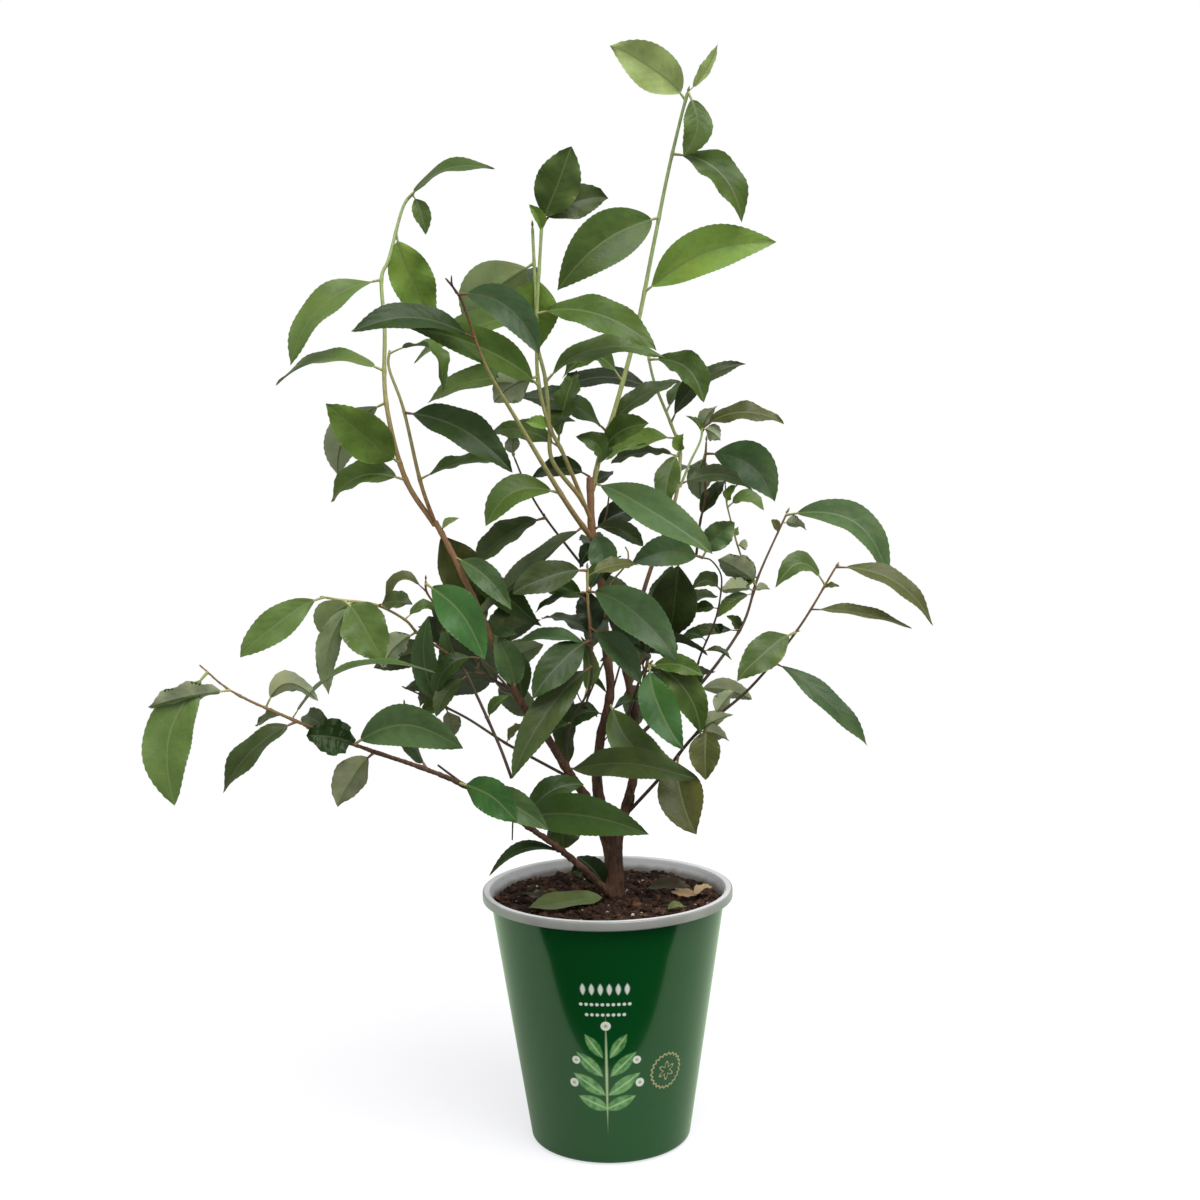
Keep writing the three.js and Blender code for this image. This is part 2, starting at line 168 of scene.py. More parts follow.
class Shader:
    def __init__(self, name, **surface):
        self.material = bpy.data.materials.new(name)
        self.material.use_nodes = True
        self.nodes = self.material.node_tree.nodes
        self.links = self.material.node_tree.links
        self.surface = self.nodes["Principled BSDF"]
        for socket, value in surface.items():
            self.put(self.surface.inputs[socket.replace("_", " ")], value)

    def put(self, socket, value):
        if isinstance(value, Wire):
            self.links.new(value.socket, socket)
        elif socket.type == "RGBA" and len(value) == 3:
            socket.default_value = (*value, 1)
        else:
            socket.default_value = value

    def node(self, kind, settings=None, inputs=None, output=0):
        made = self.nodes.new(kind)
        for name, value in (settings or {}).items():
            if name == "stops":
                stops = made.color_ramp.elements
                while len(stops) < len(value):
                    stops.new(1)
                for stop, (position, colour) in zip(stops, value):
                    stop.position = position
                    stop.color = colour
            else:
                setattr(made, name, value)
        for name, value in (inputs or {}).items():
            self.put(made.inputs[name], value)
        return Wire(self, made.outputs[output])

    def mix(self, low, high, factor, blend="MIX"):
        # Mix keeps its colour sockets at 6 and 7, and its colour result at 2
        settings = {"data_type": "RGBA", "blend_type": blend}
        return self.node("ShaderNodeMix", settings, {0: factor, 6: low, 7: high}, 2)

    def place(self):
        return self.node("ShaderNodeTexCoord", output="Object")

    def axes(self, vector):
        return [self.node("ShaderNodeSeparateXYZ", inputs={0: vector}, output=i) for i in range(3)]

    def noise(self, scale, detail=2, rough=0.5, vector=None):
        inputs = {"Vector": vector or self.place(), "Scale": scale, "Detail": detail}
        inputs["Roughness"] = rough
        return self.node("ShaderNodeTexNoise", inputs=inputs)

    def attribute(self, name):
        return self.node("ShaderNodeAttribute", {"attribute_name": name}, output="Fac")

    def finish(self, colour=None, roughness=None, relief=None, height=0.3 * mm, strength=1, glow=None):
        if colour is not None:
            self.put(self.surface.inputs["Base Color"], colour)
        if roughness is not None:
            self.put(self.surface.inputs["Roughness"], roughness)
        if relief is not None:
            inputs = {"Height": relief, "Distance": height, "Strength": strength}
            self.put(self.surface.inputs["Normal"], self.node("ShaderNodeBump", inputs=inputs))
        if glow is not None:
            self.put(self.surface.inputs["Emission Color"], glow)
            self.surface.inputs["Emission Strength"].default_value = 1
        return self.material


def addObject(name, mesh):
    made = bpy.data.objects.new(name, mesh)
    bpy.context.collection.objects.link(made)
    return made


def bake(piece):
    # the evaluated mesh takes the place of the piece's own, and its modifiers go
    graph = bpy.context.evaluated_depsgraph_get()
    mesh = bpy.data.meshes.new_from_object(piece.evaluated_get(graph))
    piece.modifiers.clear()
    piece.data = mesh
    return piece


shootSpacing = 1.5  # mm


def smoothPath(points, spacing=shootSpacing):
    # an even run of points, spacing mm apart, on the curve through the given ones
    points = np.array(points, float)
    ends = np.vstack([2 * points[0] - points[1], points, 2 * points[-1] - points[-2]])
    t = np.linspace(0, 1, 24, endpoint=False)[:, None]
    runs = []
    for a, b, c, d in zip(ends, ends[1:], ends[2:], ends[3:]):
        curve = 2 * b + (c - a) * t + (2 * a - 5 * b + 4 * c - d) * t**2 + (3 * b - a - 3 * c + d) * t**3
        runs.append(curve / 2)
    fine = np.vstack([*runs, points[-1:]])
    length = np.concatenate([[0], np.cumsum(np.linalg.norm(np.diff(fine, axis=0), axis=1))])
    count = max(3, round(length[-1] / spacing) + 1)
    at = np.linspace(0, length[-1], count)
    return np.column_stack([np.interp(at, length, fine[:, i]) for i in range(3)])


def pointAt(path, share):
    at = share * (len(path) - 1)
    i = min(int(at), len(path) - 2)
    return path[i] + (path[i + 1] - path[i]) * (at - i)


def headingAt(path, share):
    i = min(int(share * (len(path) - 1)), len(path) - 2)
    return unit(path[i + 1] - path[i])


def unit(vector):
    return vector / np.linalg.norm(vector)


def across(vector, axis):
    # the part of vector square to axis, at unit length
    return unit(vector - axis * (vector @ axis))


class Build:
    # gathers many small closed shapes into one mesh
    def __init__(self):
        self.points = []
        self.faces = []
        self.looks = []
        self.maps = []
        self.tones = []
        self.count = 0

    def add(self, points, faces, looks, tone=0.5, mapping=None):
        self.points.append(points)
        self.faces += [tuple(i + self.count for i in face) for face in faces]
        self.looks += looks
        self.tones.append(np.full(len(points), tone))
        self.maps.append(np.zeros((len(points), 2)) if mapping is None else mapping)
        self.count += len(points)

    def piece(self, name, materials, sharp=None):
        mesh = bpy.data.meshes.new(name)
        mesh.from_pydata((np.vstack(self.points) * mm).tolist(), [], self.faces)
        mesh.shade_smooth()
        for material in materials:
            mesh.materials.append(material)
        mesh.polygons.foreach_set("material_index", self.looks)
        corners = np.empty(len(mesh.loops), int)
        mesh.loops.foreach_get("vertex_index", corners)
        mesh.uv_layers.new(name="blade").uv.foreach_set("vector", np.vstack(self.maps)[corners].ravel())
        tone = mesh.attributes.new("tone", "FLOAT", "POINT")
        tone.data.foreach_set("value", np.concatenate(self.tones))
        if sharp:
            mesh.set_sharp_from_angle(angle=math.radians(sharp))
        mesh.validate()
        return addObject(name, mesh)


def loft(rings, build, look=0, tone=0.5):
    # a closed skin over rings of equal count, with a point at each end
    sides = len(rings[0])
    points = np.vstack([rings[0].mean(axis=0), *rings, rings[-1].mean(axis=0)])
    faces = [(0, 1 + (i + 1) % sides, 1 + i) for i in range(sides)]
    for row in range(len(rings) - 1):
        low = 1 + row * sides
        for i in range(sides):
            j = (i + 1) % sides
            faces.append((low + i, low + j, low + sides + j, low + sides + i))
    low = 1 + (len(rings) - 1) * sides
    faces += [(low + i, low + (i + 1) % sides, low + sides) for i in range(sides)]
    build.add(points, faces, [look] * len(faces), tone)


def tubeRings(path, radii, sides):
    # circles square to the path, turned as little as possible from one to the next
    tangents = np.gradient(path, axis=0)
    tangents /= np.linalg.norm(tangents, axis=1)[:, None]
    side = across(np.array([1.0, 0.3, 0.1]), tangents[0])
    angle = np.linspace(0, math.tau, sides, endpoint=False)[:, None]
    rings = []
    for point, tangent, radius in zip(path, tangents, radii):
        side = across(side, tangent)
        other = np.cross(tangent, side)
        rings.append(point + radius * (np.cos(angle) * side + np.sin(angle) * other))
    return rings


pot = {
    "height": 132, "footRadius": 41.8, "footRound": 2.6, "neckRadius": 60.6, "neckHeight": 126,
    "rimRadius": 65, "rimInner": 61.2, "bandHeight": 4.4, "bandThickness": 1.3, "lipRound": 0.8,
    "wall": 1.4, "floor": 2, "sides": 160,
    "print": srgb(4, 66, 22), "lining": srgb(236, 237, 238),
    "leafInk": srgb(122, 176, 108), "leafInkDark": srgb(62, 128, 62), "white": srgb(232, 240, 228),
    "gold": srgb(176, 164, 120),
}


def arc(centre, radius, start, end, steps=5):
    angles = [math.radians(start + (end - start) * i / steps) for i in range(steps + 1)]
    return [(centre[0] + radius * math.cos(a), centre[1] + radius * math.sin(a)) for a in angles]


def wallRadius(height):
    # the outer wall, from the top of the rounded foot to the neck
    share = (height - pot["footRound"]) / (pot["neckHeight"] - pot["footRound"])
    return pot["footRadius"] + share * (pot["neckRadius"] - pot["footRadius"])


def potProfile():
    # radius and height in mm, from the middle of the underside round to the middle of the floor
    foot = pot["footRound"]
    top = pot["height"]
    lip = pot["lipRound"]
    bandFoot = top - pot["bandHeight"]
    bandInner = pot["rimRadius"] - pot["bandThickness"]
    outline = [(0, 0.6), (pot["footRadius"] - 9, 0.6), (pot["footRadius"] - 7.6, 0)]
    outline += arc((pot["footRadius"] - foot, foot), foot, -90, 0)
    for i in range(1, 8):
        height = foot + (pot["neckHeight"] - foot) * i / 8
        outline.append((wallRadius(height), height))
    outline += [(pot["neckRadius"], pot["neckHeight"]), (pot["rimInner"] - 0.4, top - 1.5)]
    outline += [(bandInner, top - 1.5), (bandInner, bandFoot + 0.3)]
    outline += arc((pot["rimRadius"] - 0.3, bandFoot + 0.3), 0.3, -90, 0, 3)
    outline += arc((pot["rimRadius"] - lip, top - lip), lip, 0, 90)
    outline += arc((pot["rimInner"] + lip, top - lip), lip, 90, 180)
    outline += [(pot["neckRadius"] - pot["wall"], pot["neckHeight"] - 0.2)]
    for i in range(7, 0, -1):
        height = foot + (pot["neckHeight"] - foot) * i / 8
        outline.append((wallRadius(height) - pot["wall"], height))
    outline += [(wallRadius(foot) - pot["wall"], foot + 1), (pot["footRadius"] - foot - 1, pot["floor"])]
    outline.append((0, pot["floor"]))
    return outline


def lathe(outline, sides, build, look):
    # turns an outline that starts and ends on the axis; look gives a face's material by its run
    angle = np.linspace(0, math.tau, sides, endpoint=False)
    points = [np.array([[0, 0, outline[0][1]]])]
    for radius, height in outline[1:-1]:
        ring = [radius * np.cos(angle), radius * np.sin(angle), np.full(sides, height)]
        points.append(np.column_stack(ring))
    points.append(np.array([[0, 0, outline[-1][1]]]))
    faces = []
    looks = []
    last = 1 + (len(outline) - 2) * sides
    for i in range(sides):
        j = (i + 1) % sides
        faces.append((0, 1 + j, 1 + i))
        faces += [
            (1 + row * sides + i, 1 + row * sides + j, 1 + (row + 1) * sides + j, 1 + (row + 1) * sides + i)
            for row in range(len(outline) - 3)
        ]
        faces.append((last - sides + i, last - sides + j, last))
        looks += [look(*outline[row], *outline[row + 1]) for row in range(len(outline) - 1)]
    build.add(np.vstack(points), faces, looks)


def potLook(radius, height, nextRadius, nextHeight):
    # 1 is the printed film, on the outer wall from the foot to the neck; 2 is the outside of the rim
    outside = nextRadius >= radius or nextHeight > height
    onWall = outside and nextHeight <= pot["neckHeight"] + 0.1 and radius < pot["rimInner"]
    if outside and height > pot["height"] - pot["bandHeight"] - 0.1 and radius > pot["rimInner"]:
        return 2
    return 1 if onWall and nextHeight > height else 0


def liningMaterial():
    s = Shader("moulded white plastic", IOR=1.46, Coat_Weight=0.15, Coat_Roughness=0.2)
    speck = s.noise(900, 1).step(0.72, 0.76)
    flow = s.noise(18, 3)
    colour = s.mix(pot["lining"], srgb(214, 216, 218), flow.step(0.35, 0.8))
    colour = s.mix(colour, srgb(120, 104, 86), speck * 0.45)
    z = s.axes(s.place())[2]
    # painted shade and dirt: the lining darkens just above the compost, where the inner wall is in shade
    dirtAndShade = 1 - (z / mm + 2.5 * s.noise(150, 3)).step(127.2, 130.5)
    colour = s.mix(colour, srgb(104, 98, 84), dirtAndShade * 0.8)
    return s.finish(colour, 0.32 + 0.12 * flow, s.noise(420, 2), 0.04 * mm, 0.5)


def bandMaterial():
    # grey plastic, darker than the lining: the grey is partly painted reflection of the dark in front of the
    # pot
    s = Shader("grey rim band", IOR=1.5, Coat_Weight=0.3, Coat_Roughness=0.1)
    flow = s.noise(30, 3)
    colour = s.mix(srgb(150, 151, 145), srgb(168, 170, 164), flow.step(0.35, 0.7))
    return s.finish(colour, 0.25 + 0.1 * flow, s.noise(420, 2), 0.04 * mm, 0.5)


def inkOval(s, x, z, centre, size, turn):
    # 1 inside an oval of the given half sizes in mm, pointed at both ends
    c, d = math.cos(math.radians(turn)), math.sin(math.radians(turn))
    px = x - centre[0]
    pz = z - centre[1]
    along = (px * c + pz * d) / size[0]
    side = (pz * c - px * d).abs() / size[1]
    edge = side + along * along
    soft = 0.5 / size[1]
    return 1 - edge.step(1 - soft, 1 + soft)


def inkDisc(s, x, z, centre, radius):
    px = x - centre[0]
    pz = z - centre[1]
    return 1 - (px * px + pz * pz).step((radius - 0.25) ** 2, (radius + 0.25) ** 2)


def union(first, *others):
    for other in others:
        first = first.atLeast(other)
    return first


garland = {  # a plain ornament: leaf pairs up a stem, with round berries; mm round and up the wall
    "middle": -2, "foot": 31,
    "pairs": [(7, 3, 9, 3.4, 22), (9, 13, 10, 3.6, 34), (8.5, 24, 9, 3.3, 44), (6, 34, 7.5, 2.8, 56)],
    "berries": [(17.5, 13.5, 2.3), (15.5, 26, 2.1), (0, 45, 2.4)],
    "seeds": {"height": 95.5, "half": 12, "pitch": 4, "size": (3, 1.1)},
    "dots": {"heights": (87.5, 82), "half": (12.5, 10), "pitch": 2.5, "size": 0.8},
    "ring": {"round": 33, "up": 48, "radius": 9, "width": 0.35, "beads": 22},
}


def filmMaterial():
    s = Shader("printed film", IOR=1.5, Coat_Weight=0.35, Coat_Roughness=0.04)
    x, y, z = s.axes(s.place())
    turn = s.node("ShaderNodeMath", {"operation": "ARCTAN2"}, {0: x, 1: 0 - y})
    height = z / mm
    around = turn * wallRadius(60) - garland["middle"]
    up = height - garland["foot"]
    half = around.abs()
    leaves = union(*[inkOval(s, half, up, pair[:2], pair[2:4], pair[4]) for pair in garland["pairs"]])
    ribs = union(*[inkOval(s, half, up, pair[:2], (pair[2], 0.35), pair[4]) for pair in garland["pairs"]])
    stem = inkOval(s, around, up, (0, 19), (27, 0.6), 90)
    berries = union(*[inkDisc(s, half, up, b[:2], b[2]) for b in garland["berries"]])
    hearts = union(*[inkDisc(s, half, up, b[:2], b[2] * 0.35) for b in garland["berries"]])
    dots = []
    lines = garland["dots"]
    for level, width in zip(lines["heights"], lines["half"]):
        beside = ((around / lines["pitch"]).fract() - 0.5) * lines["pitch"]
        dot = inkDisc(s, beside, height, (0, level), lines["size"])
        dots.append(dot * (1 - half.step(width - 0.1, width + 0.1)))
    seeds = garland["seeds"]
    beside = ((around / seeds["pitch"]).fract() - 0.5) * seeds["pitch"]
    seed = inkOval(s, beside, height, (0, seeds["height"]), seeds["size"], 90)
    dots.append(seed * (1 - half.step(seeds["half"] - 0.1, seeds["half"] + 0.1)))
    ring = garland["ring"]
    ringX = around - ring["round"]
    ringZ = height - ring["up"]
    reach = s.node("ShaderNodeMath", {"operation": "SQRT"}, {0: ringX * ringX + ringZ * ringZ})
    spin = s.node("ShaderNodeMath", {"operation": "ARCTAN2"}, {0: ringX, 1: ringZ})
    wave = s.node("ShaderNodeMath", {"operation": "SINE"}, {0: spin * ring["beads"]})
    line = 1 - (reach - ring["radius"] - wave * 0.45).abs().step(ring["width"], ring["width"] + 0.3)
    petal = s.node("ShaderNodeMath", {"operation": "COSINE"}, {0: spin * 6})
    rosette = 1 - (reach - 3.4 - petal * 1.3).abs().step(0.3, 0.6)
    grain = s.noise(260, 3)
    film = s.mix(pot["print"], srgb(10, 80, 34), s.noise(14, 2))
    leafInk = s.mix(pot["leafInkDark"], pot["leafInk"], grain.step(0.3, 0.65))
    colour = s.mix(film, leafInk, leaves)
    colour = s.mix(colour, srgb(190, 214, 160), union(ribs * leaves, stem))
    colour = s.mix(colour, pot["white"], union(berries, *dots))
    colour = s.mix(colour, srgb(190, 180, 130), hearts)
    colour = s.mix(colour, pot["gold"], union(line, rosette))
    return s.finish(colour, 0.13 + 0.05 * grain, s.noise(60, 2), 0.05 * mm, 0.25)


def makePot():
    build = Build()
    lathe(potProfile(), pot["sides"], build, potLook)
    shell = build.piece("potShell", [liningMaterial(), filmMaterial(), bandMaterial()], sharp=40)
    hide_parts("pot")
    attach(shell, "root")
    print("pot made")


floorDisc = {"radius": 0.9, "level": -0.0005, "sides": 95}  # metres
card = {"middle": 0.006, "half": 0.5, "near": -0.115, "round": 0.05, "far": -1.3, "level": 0.001}


def makeStage():
    floorShader = Shader("pale floor", Roughness=0.9, Specular_IOR_Level=0.05)
    seen = floorShader.node("ShaderNodeLightPath", output="Is Camera Ray")
    gloss = floorShader.node("ShaderNodeLightPath", output="Is Glossy Ray")
    # reflected rays see the floor paler and greener than other rays do: painted reflection colour for the
    # pot's sides
    tone = floorShader.mix(srgb(150, 150, 152), srgb(190, 214, 182), gloss)
    glow = floorShader.mix((0, 0, 0), (0.7, 0.7, 0.71), seen)
    floorMaterial = floorShader.finish(tone, glow=glow)
    floor = bpy.data.meshes.new("floor")
    turns = np.linspace(0, math.tau, floorDisc["sides"] + 1)[:-1]
    reach = floorDisc["radius"]
    rim = [(reach * math.cos(a), reach * math.sin(a), floorDisc["level"]) for a in turns]
    floor.from_pydata(rim, [], [tuple(range(len(rim)))])
    floor.materials.append(floorMaterial)
    addObject("floor", floor)
    # lies before the pot, hidden from the camera and from light, and shows only in its gloss: a dark sheet
    # that paints a dark reflection, as a dark table does
    cardShader = Shader("dark card", Roughness=1, Specular_IOR_Level=0)
    cardMaterial = cardShader.finish(srgb(14, 16, 15))
    mesh = bpy.data.meshes.new("card")
    ends = [(math.cos(a) * card["half"], card["near"] - card["round"] + math.sin(a) * card["round"])
            for a in np.linspace(0, math.pi, 24)]
    corners = [(card["half"], card["far"]), *ends, (-card["half"], card["far"])]
    sheetPoints = [(card["middle"] + x, y, card["level"]) for x, y in corners]
    mesh.from_pydata(sheetPoints, [], [tuple(range(len(corners)))])
    mesh.materials.append(cardMaterial)
    sheet = addObject("card", mesh)
    sheet.visible_camera = False
    sheet.visible_diffuse = False
    sheet.visible_shadow = False
    print("floor and card made")


compost = {
    "level": 125.0, "crown": 126.6, "radius": 58.6, "depth": 14, "lump": 1.5, "rings": 46, "sides": 110,
    "dark": srgb(34, 26, 20), "brown": srgb(74, 54, 42), "red": srgb(96, 66, 50), "moss": srgb(74, 78, 50),
}


def compostMaterial():
    s = Shader("compost", Roughness=0.95, Specular_IOR_Level=0.2)
    lumps = s.noise(260, 5, 0.65)
    patch = s.noise(40, 3)
    x = s.axes(s.place())[0]
    warm = (x / (50 * mm) + patch).step(0.2, 0.95)
    colour = s.mix(compost["dark"], compost["brown"], lumps.step(0.35, 0.7))
    colour = s.mix(colour, compost["red"], warm * lumps.step(0.4, 0.75))
    mossy = (1 - warm) * s.noise(110, 3).step(0.52, 0.66)
    colour = s.mix(colour, compost["moss"], mossy * 0.6)
    return s.finish(colour, 0.95, lumps + 0.5 * s.noise(900, 3), 0.8 * mm, 0.9)


def compostHeight(x, y):
    reach = math.hypot(x, y) / compost["radius"]
    rise = compost["level"] + (compost["crown"] - compost["level"]) * (1 - reach**2)
    lump = noise.noise(Vector((x * 0.11, y * 0.11, 3))) + 0.6 * noise.noise(Vector((x * 0.3, y * 0.3, 7)))
    lump += 0.35 * noise.noise(Vector((x * 0.8, y * 0.8, 5)))
    return rise + compost["lump"] * (lump - 0.25) * min(1, 4 * (1 - reach) + 0.3)


def makeCompost():
    build = Build()
    sides = compost["sides"]
    points = []
    for row in range(1, compost["rings"] + 1):
        radius = compost["radius"] * row / compost["rings"]
        for i in range(sides):
            a = math.tau * (i + 0.5 * (row % 2)) / sides
            x, y = radius * math.cos(a), radius * math.sin(a)
            points.append((x, y, compostHeight(x, y)))
    foot = compost["level"] - compost["depth"]
    shrink = 1 - 2.2 / compost["radius"]
    points += [(x * shrink, y * shrink, foot) for x, y, z in points[-sides:]]
    points += [(0, 0, compostHeight(0, 0)), (0, 0, foot)]
    rows = compost["rings"] + 1
    top, under = rows * sides, rows * sides + 1
    faces = []
    for i in range(sides):
        j = (i + 1) % sides
        faces.append((i, j, top))
        faces.append(((rows - 1) * sides + j, (rows - 1) * sides + i, under))
        for row in range(rows - 1):
            near, far = row * sides, (row + 1) * sides
            faces.append((near + j, near + i, far + i, far + j))
    build.add(np.array(points), faces, [0] * len(faces))
    bed = build.piece("compostBed", [compostMaterial()], sharp=70)
    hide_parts("compost")
    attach(bed, "root")
    return bed


class Flow:
    # a Geometry Nodes tree with named inputs, run once on a piece and then removed from it
    kinds = {float: "NodeSocketFloat", int: "NodeSocketInt", bpy.types.Material: "NodeSocketMaterial"}

    def __init__(self, name, **inputs):
        self.tree = bpy.data.node_groups.new(name, "GeometryNodeTree")
        self.values = inputs
        self.keys = {}
        face = self.tree.interface
        face.new_socket("Geometry", in_out="INPUT", socket_type="NodeSocketGeometry")
        face.new_socket("Geometry", in_out="OUTPUT", socket_type="NodeSocketGeometry")
        for label, value in inputs.items():
            socket = face.new_socket(label, in_out="INPUT", socket_type=self.kinds[type(value)])
            self.keys[label] = socket.identifier
        self.start = self.tree.nodes.new("NodeGroupInput")
        self.end = self.tree.nodes.new("NodeGroupOutput")

    def given(self, label="Geometry"):
        return self.start.outputs[label]

    def node(self, kind, inputs, settings=None, output=0):
        made = self.tree.nodes.new(kind)
        for name, value in (settings or {}).items():
            setattr(made, name, value)
        for name, value in inputs.items():
            if isinstance(value, bpy.types.NodeSocket):
                self.tree.links.new(value, made.inputs[name])
            else:
                made.inputs[name].default_value = value
        return made.outputs[output]

    def named(self, name, kind="FLOAT"):
        settings = {"data_type": kind}
        return self.node("GeometryNodeInputNamedAttribute", {"Name": name}, settings)

    def run(self, geometry, piece):
        solid = self.node("GeometryNodeRealizeInstances", {"Geometry": geometry})
        finish = {"Geometry": solid, "Material": self.given("material")}
        self.tree.links.new(self.node("GeometryNodeSetMaterial", finish), self.end.inputs["Geometry"])
        modifier = piece.modifiers.new(self.tree.name, "NODES")
        modifier.node_group = self.tree
        for label, value in self.values.items():
            modifier[self.keys[label]] = value
        return bake(piece)


def wireMesh(name, chains, **attributes):
    # each chain of points is one run of edges; an attribute gives one value or vector for each point
    mesh = bpy.data.meshes.new(name)
    edges = []
    count = 0
    for chain in chains:
        edges += [(count + i, count + i + 1) for i in range(len(chain) - 1)]
        count += len(chain)
    mesh.from_pydata((np.vstack(chains) * mm).tolist(), edges, [])
    for label, values in attributes.items():
        values = np.concatenate(values)
        vector = values.ndim == 2
        layer = mesh.attributes.new(label, "FLOAT_VECTOR" if vector else "FLOAT", "POINT")
        layer.data.foreach_set("vector" if vector else "value", values.ravel())
    return addObject(name, mesh)


crumbs = {  # count in each square metre of compost, radius in mm, flatness, seed
    "crumb": {"density": 90000.0, "size": (0.7, 2.3), "flat": 0.7, "seed": 3},
    "chip": {"density": 26000.0, "size": (1.0, 3.4), "flat": 0.3, "seed": 8},
    "grit": {"density": 6000.0, "size": (0.5, 1.0), "flat": 0.8, "seed": 21},
}


def crumbMaterial(name, low, high):
    s = Shader(name, Specular_IOR_Level=0.2)
    patch = s.noise(70, 2)
    grain = s.noise(700, 3, 0.6)
    colour = s.mix(low, high, (patch * 0.6 + grain * 0.5).step(0.4, 0.75))
    return s.finish(colour, 0.95, grain, 0.3 * mm)


def scatter(name, bed, look, material):
    flow = Flow(name, density=look["density"], small=look["size"][0] * mm, large=look["size"][1] * mm,
                flat=look["flat"], seed=look["seed"], material=material)
    normal = flow.node("GeometryNodeInputNormal", {})
    rise = flow.node("ShaderNodeSeparateXYZ", {"Vector": normal}, output="Z")
    upward = flow.node("FunctionNodeCompare", {0: rise, 1: 0.3}, {"operation": "GREATER_THAN"})
    spots = {"Mesh": flow.given(), "Selection": upward, "Density": flow.given("density"),
             "Seed": flow.given("seed")}
    points = flow.node("GeometryNodeDistributePointsOnFaces", spots)
    ball = flow.node("GeometryNodeMeshIcoSphere", {"Radius": 1.0, "Subdivisions": 2})
    rough = flow.node("ShaderNodeTexNoise", {"Scale": 1.6, "Detail": 2.0}, output="Color")
    centred = flow.node("ShaderNodeVectorMath", {0: rough, 1: (-0.5, -0.5, -0.5)})
    offset = flow.node("ShaderNodeVectorMath", {0: centred, "Scale": 1.5}, {"operation": "SCALE"})
    lump = flow.node("GeometryNodeSetPosition", {"Geometry": ball, "Offset": offset})
    size = flow.node("FunctionNodeRandomValue", {2: flow.given("small"), 3: flow.given("large"),
                                                 "Seed": flow.given("seed")}, output=1)
    stretch = flow.node("FunctionNodeRandomValue", {2: 0.5, 3: 1.5, "Seed": 11}, output=1)
    shape = flow.node("ShaderNodeCombineXYZ", {"X": 1.0, "Y": stretch, "Z": flow.given("flat")})
    scale = flow.node("ShaderNodeVectorMath", {0: shape, "Scale": size}, {"operation": "SCALE"})
    spin = flow.node("FunctionNodeRandomValue", {0: (-0.7, -0.7, 0.0), 1: (0.7, 0.7, 6.28), "Seed": 5},
                     {"data_type": "FLOAT_VECTOR"})
    copies = {"Points": points, "Instance": lump, "Rotation": spin, "Scale": scale}
    piece = addObject(name, bed.data.copy())
    flow.run(flow.node("GeometryNodeInstanceOnPoints", copies), piece)
    piece.data.shade_smooth()
    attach(piece, "root")
    return piece


def makeCrumbs(bed):
    crumb = crumbMaterial("crumb", srgb(30, 22, 17), srgb(78, 56, 44))
    scatter("compostCrumbs", bed, crumbs["crumb"], crumb)
    chip = crumbMaterial("bark chip", srgb(52, 34, 25), srgb(118, 84, 64))
    scatter("barkChips", bed, crumbs["chip"], chip)
    grit = crumbMaterial("pale grit", srgb(150, 140, 124), srgb(214, 206, 192))
    scatter("paleGrit", bed, crumbs["grit"], grit)
    print("compost made")


# most points of the limbs were worked out by a program
wood = {
    "grain": 0.55,  # mm, the size of the faces
    "sides": 20, "knot": 0.13, "knotReach": 2.2,
    "relief": {"furrow": 0.55, "lump": 0.4, "fine": 0.16, "least": 0.35},  # mm, less towards the tips
    "limbs": {
        "trunk": [(3, 2, 113), (3.2, 2, 124), (3.2, 2, 130), (3.5, 1.5, 146), (3.4, 1.5, 161.5)],
        "middle": [(1.5, 1, 148), (0, 1, 155.5), (-4.5, 0, 187.5), (-2.5, -2, 210), (3, -3, 235.5),
                   (1, -4, 259),
                   (-1.5, -4, 299.5), (-5, -4, 318.5), (-5.5, -4, 345)],
        "right": [(3.5, 2, 146), (5.5, 3, 155.5), (11, 6, 174.5), (15, 9, 191.5), (16, 11.5, 212.5),
                  (13, 13, 235.5), (8.5, 9.5, 257.5), (0.5, 5, 281.5)],
        "left": [(3, 1, 148), (1, 0, 156.5), (-8.5, -6, 177.5), (-17.5, -12, 193), (-29.5, -19, 215),
                 (-44, -25, 237.5), (-59, -29, 274.5), (-73.5, -29, 308), (-82.5, -26, 325)],
        "low": [(3, 1, 119), (2, -2, 126.5), (-10.5, -16, 144), (-30.5, -32, 165.5), (-70, -56, 199),
                (-117, -74, 222), (-145, -80, 235.5), (-172.5, -84, 250), (-187.5, -86, 263.5)],
    },
    "radii": {
        "trunk": [7.3, 6.1, 5.0, 4.6, 5.1],
        "middle": [3.1, 2.9, 2.5, 2.3, 2.2, 2.1, 2.0, 2.0, 1.9],
        "right": [2.8, 2.6, 2.4, 2.2, 2.1, 2.0, 1.8, 1.3],
        "left": [2.9, 2.7, 2.3, 2.1, 2.0, 1.9, 1.8, 1.6, 1.4],
        "low": [2.1, 1.8, 1.6, 1.45, 1.3, 1.15, 1.0, 0.8, 0.55],
    },
    "nodes": {"middle": 11, "right": 8, "left": 9, "low": 12},
}


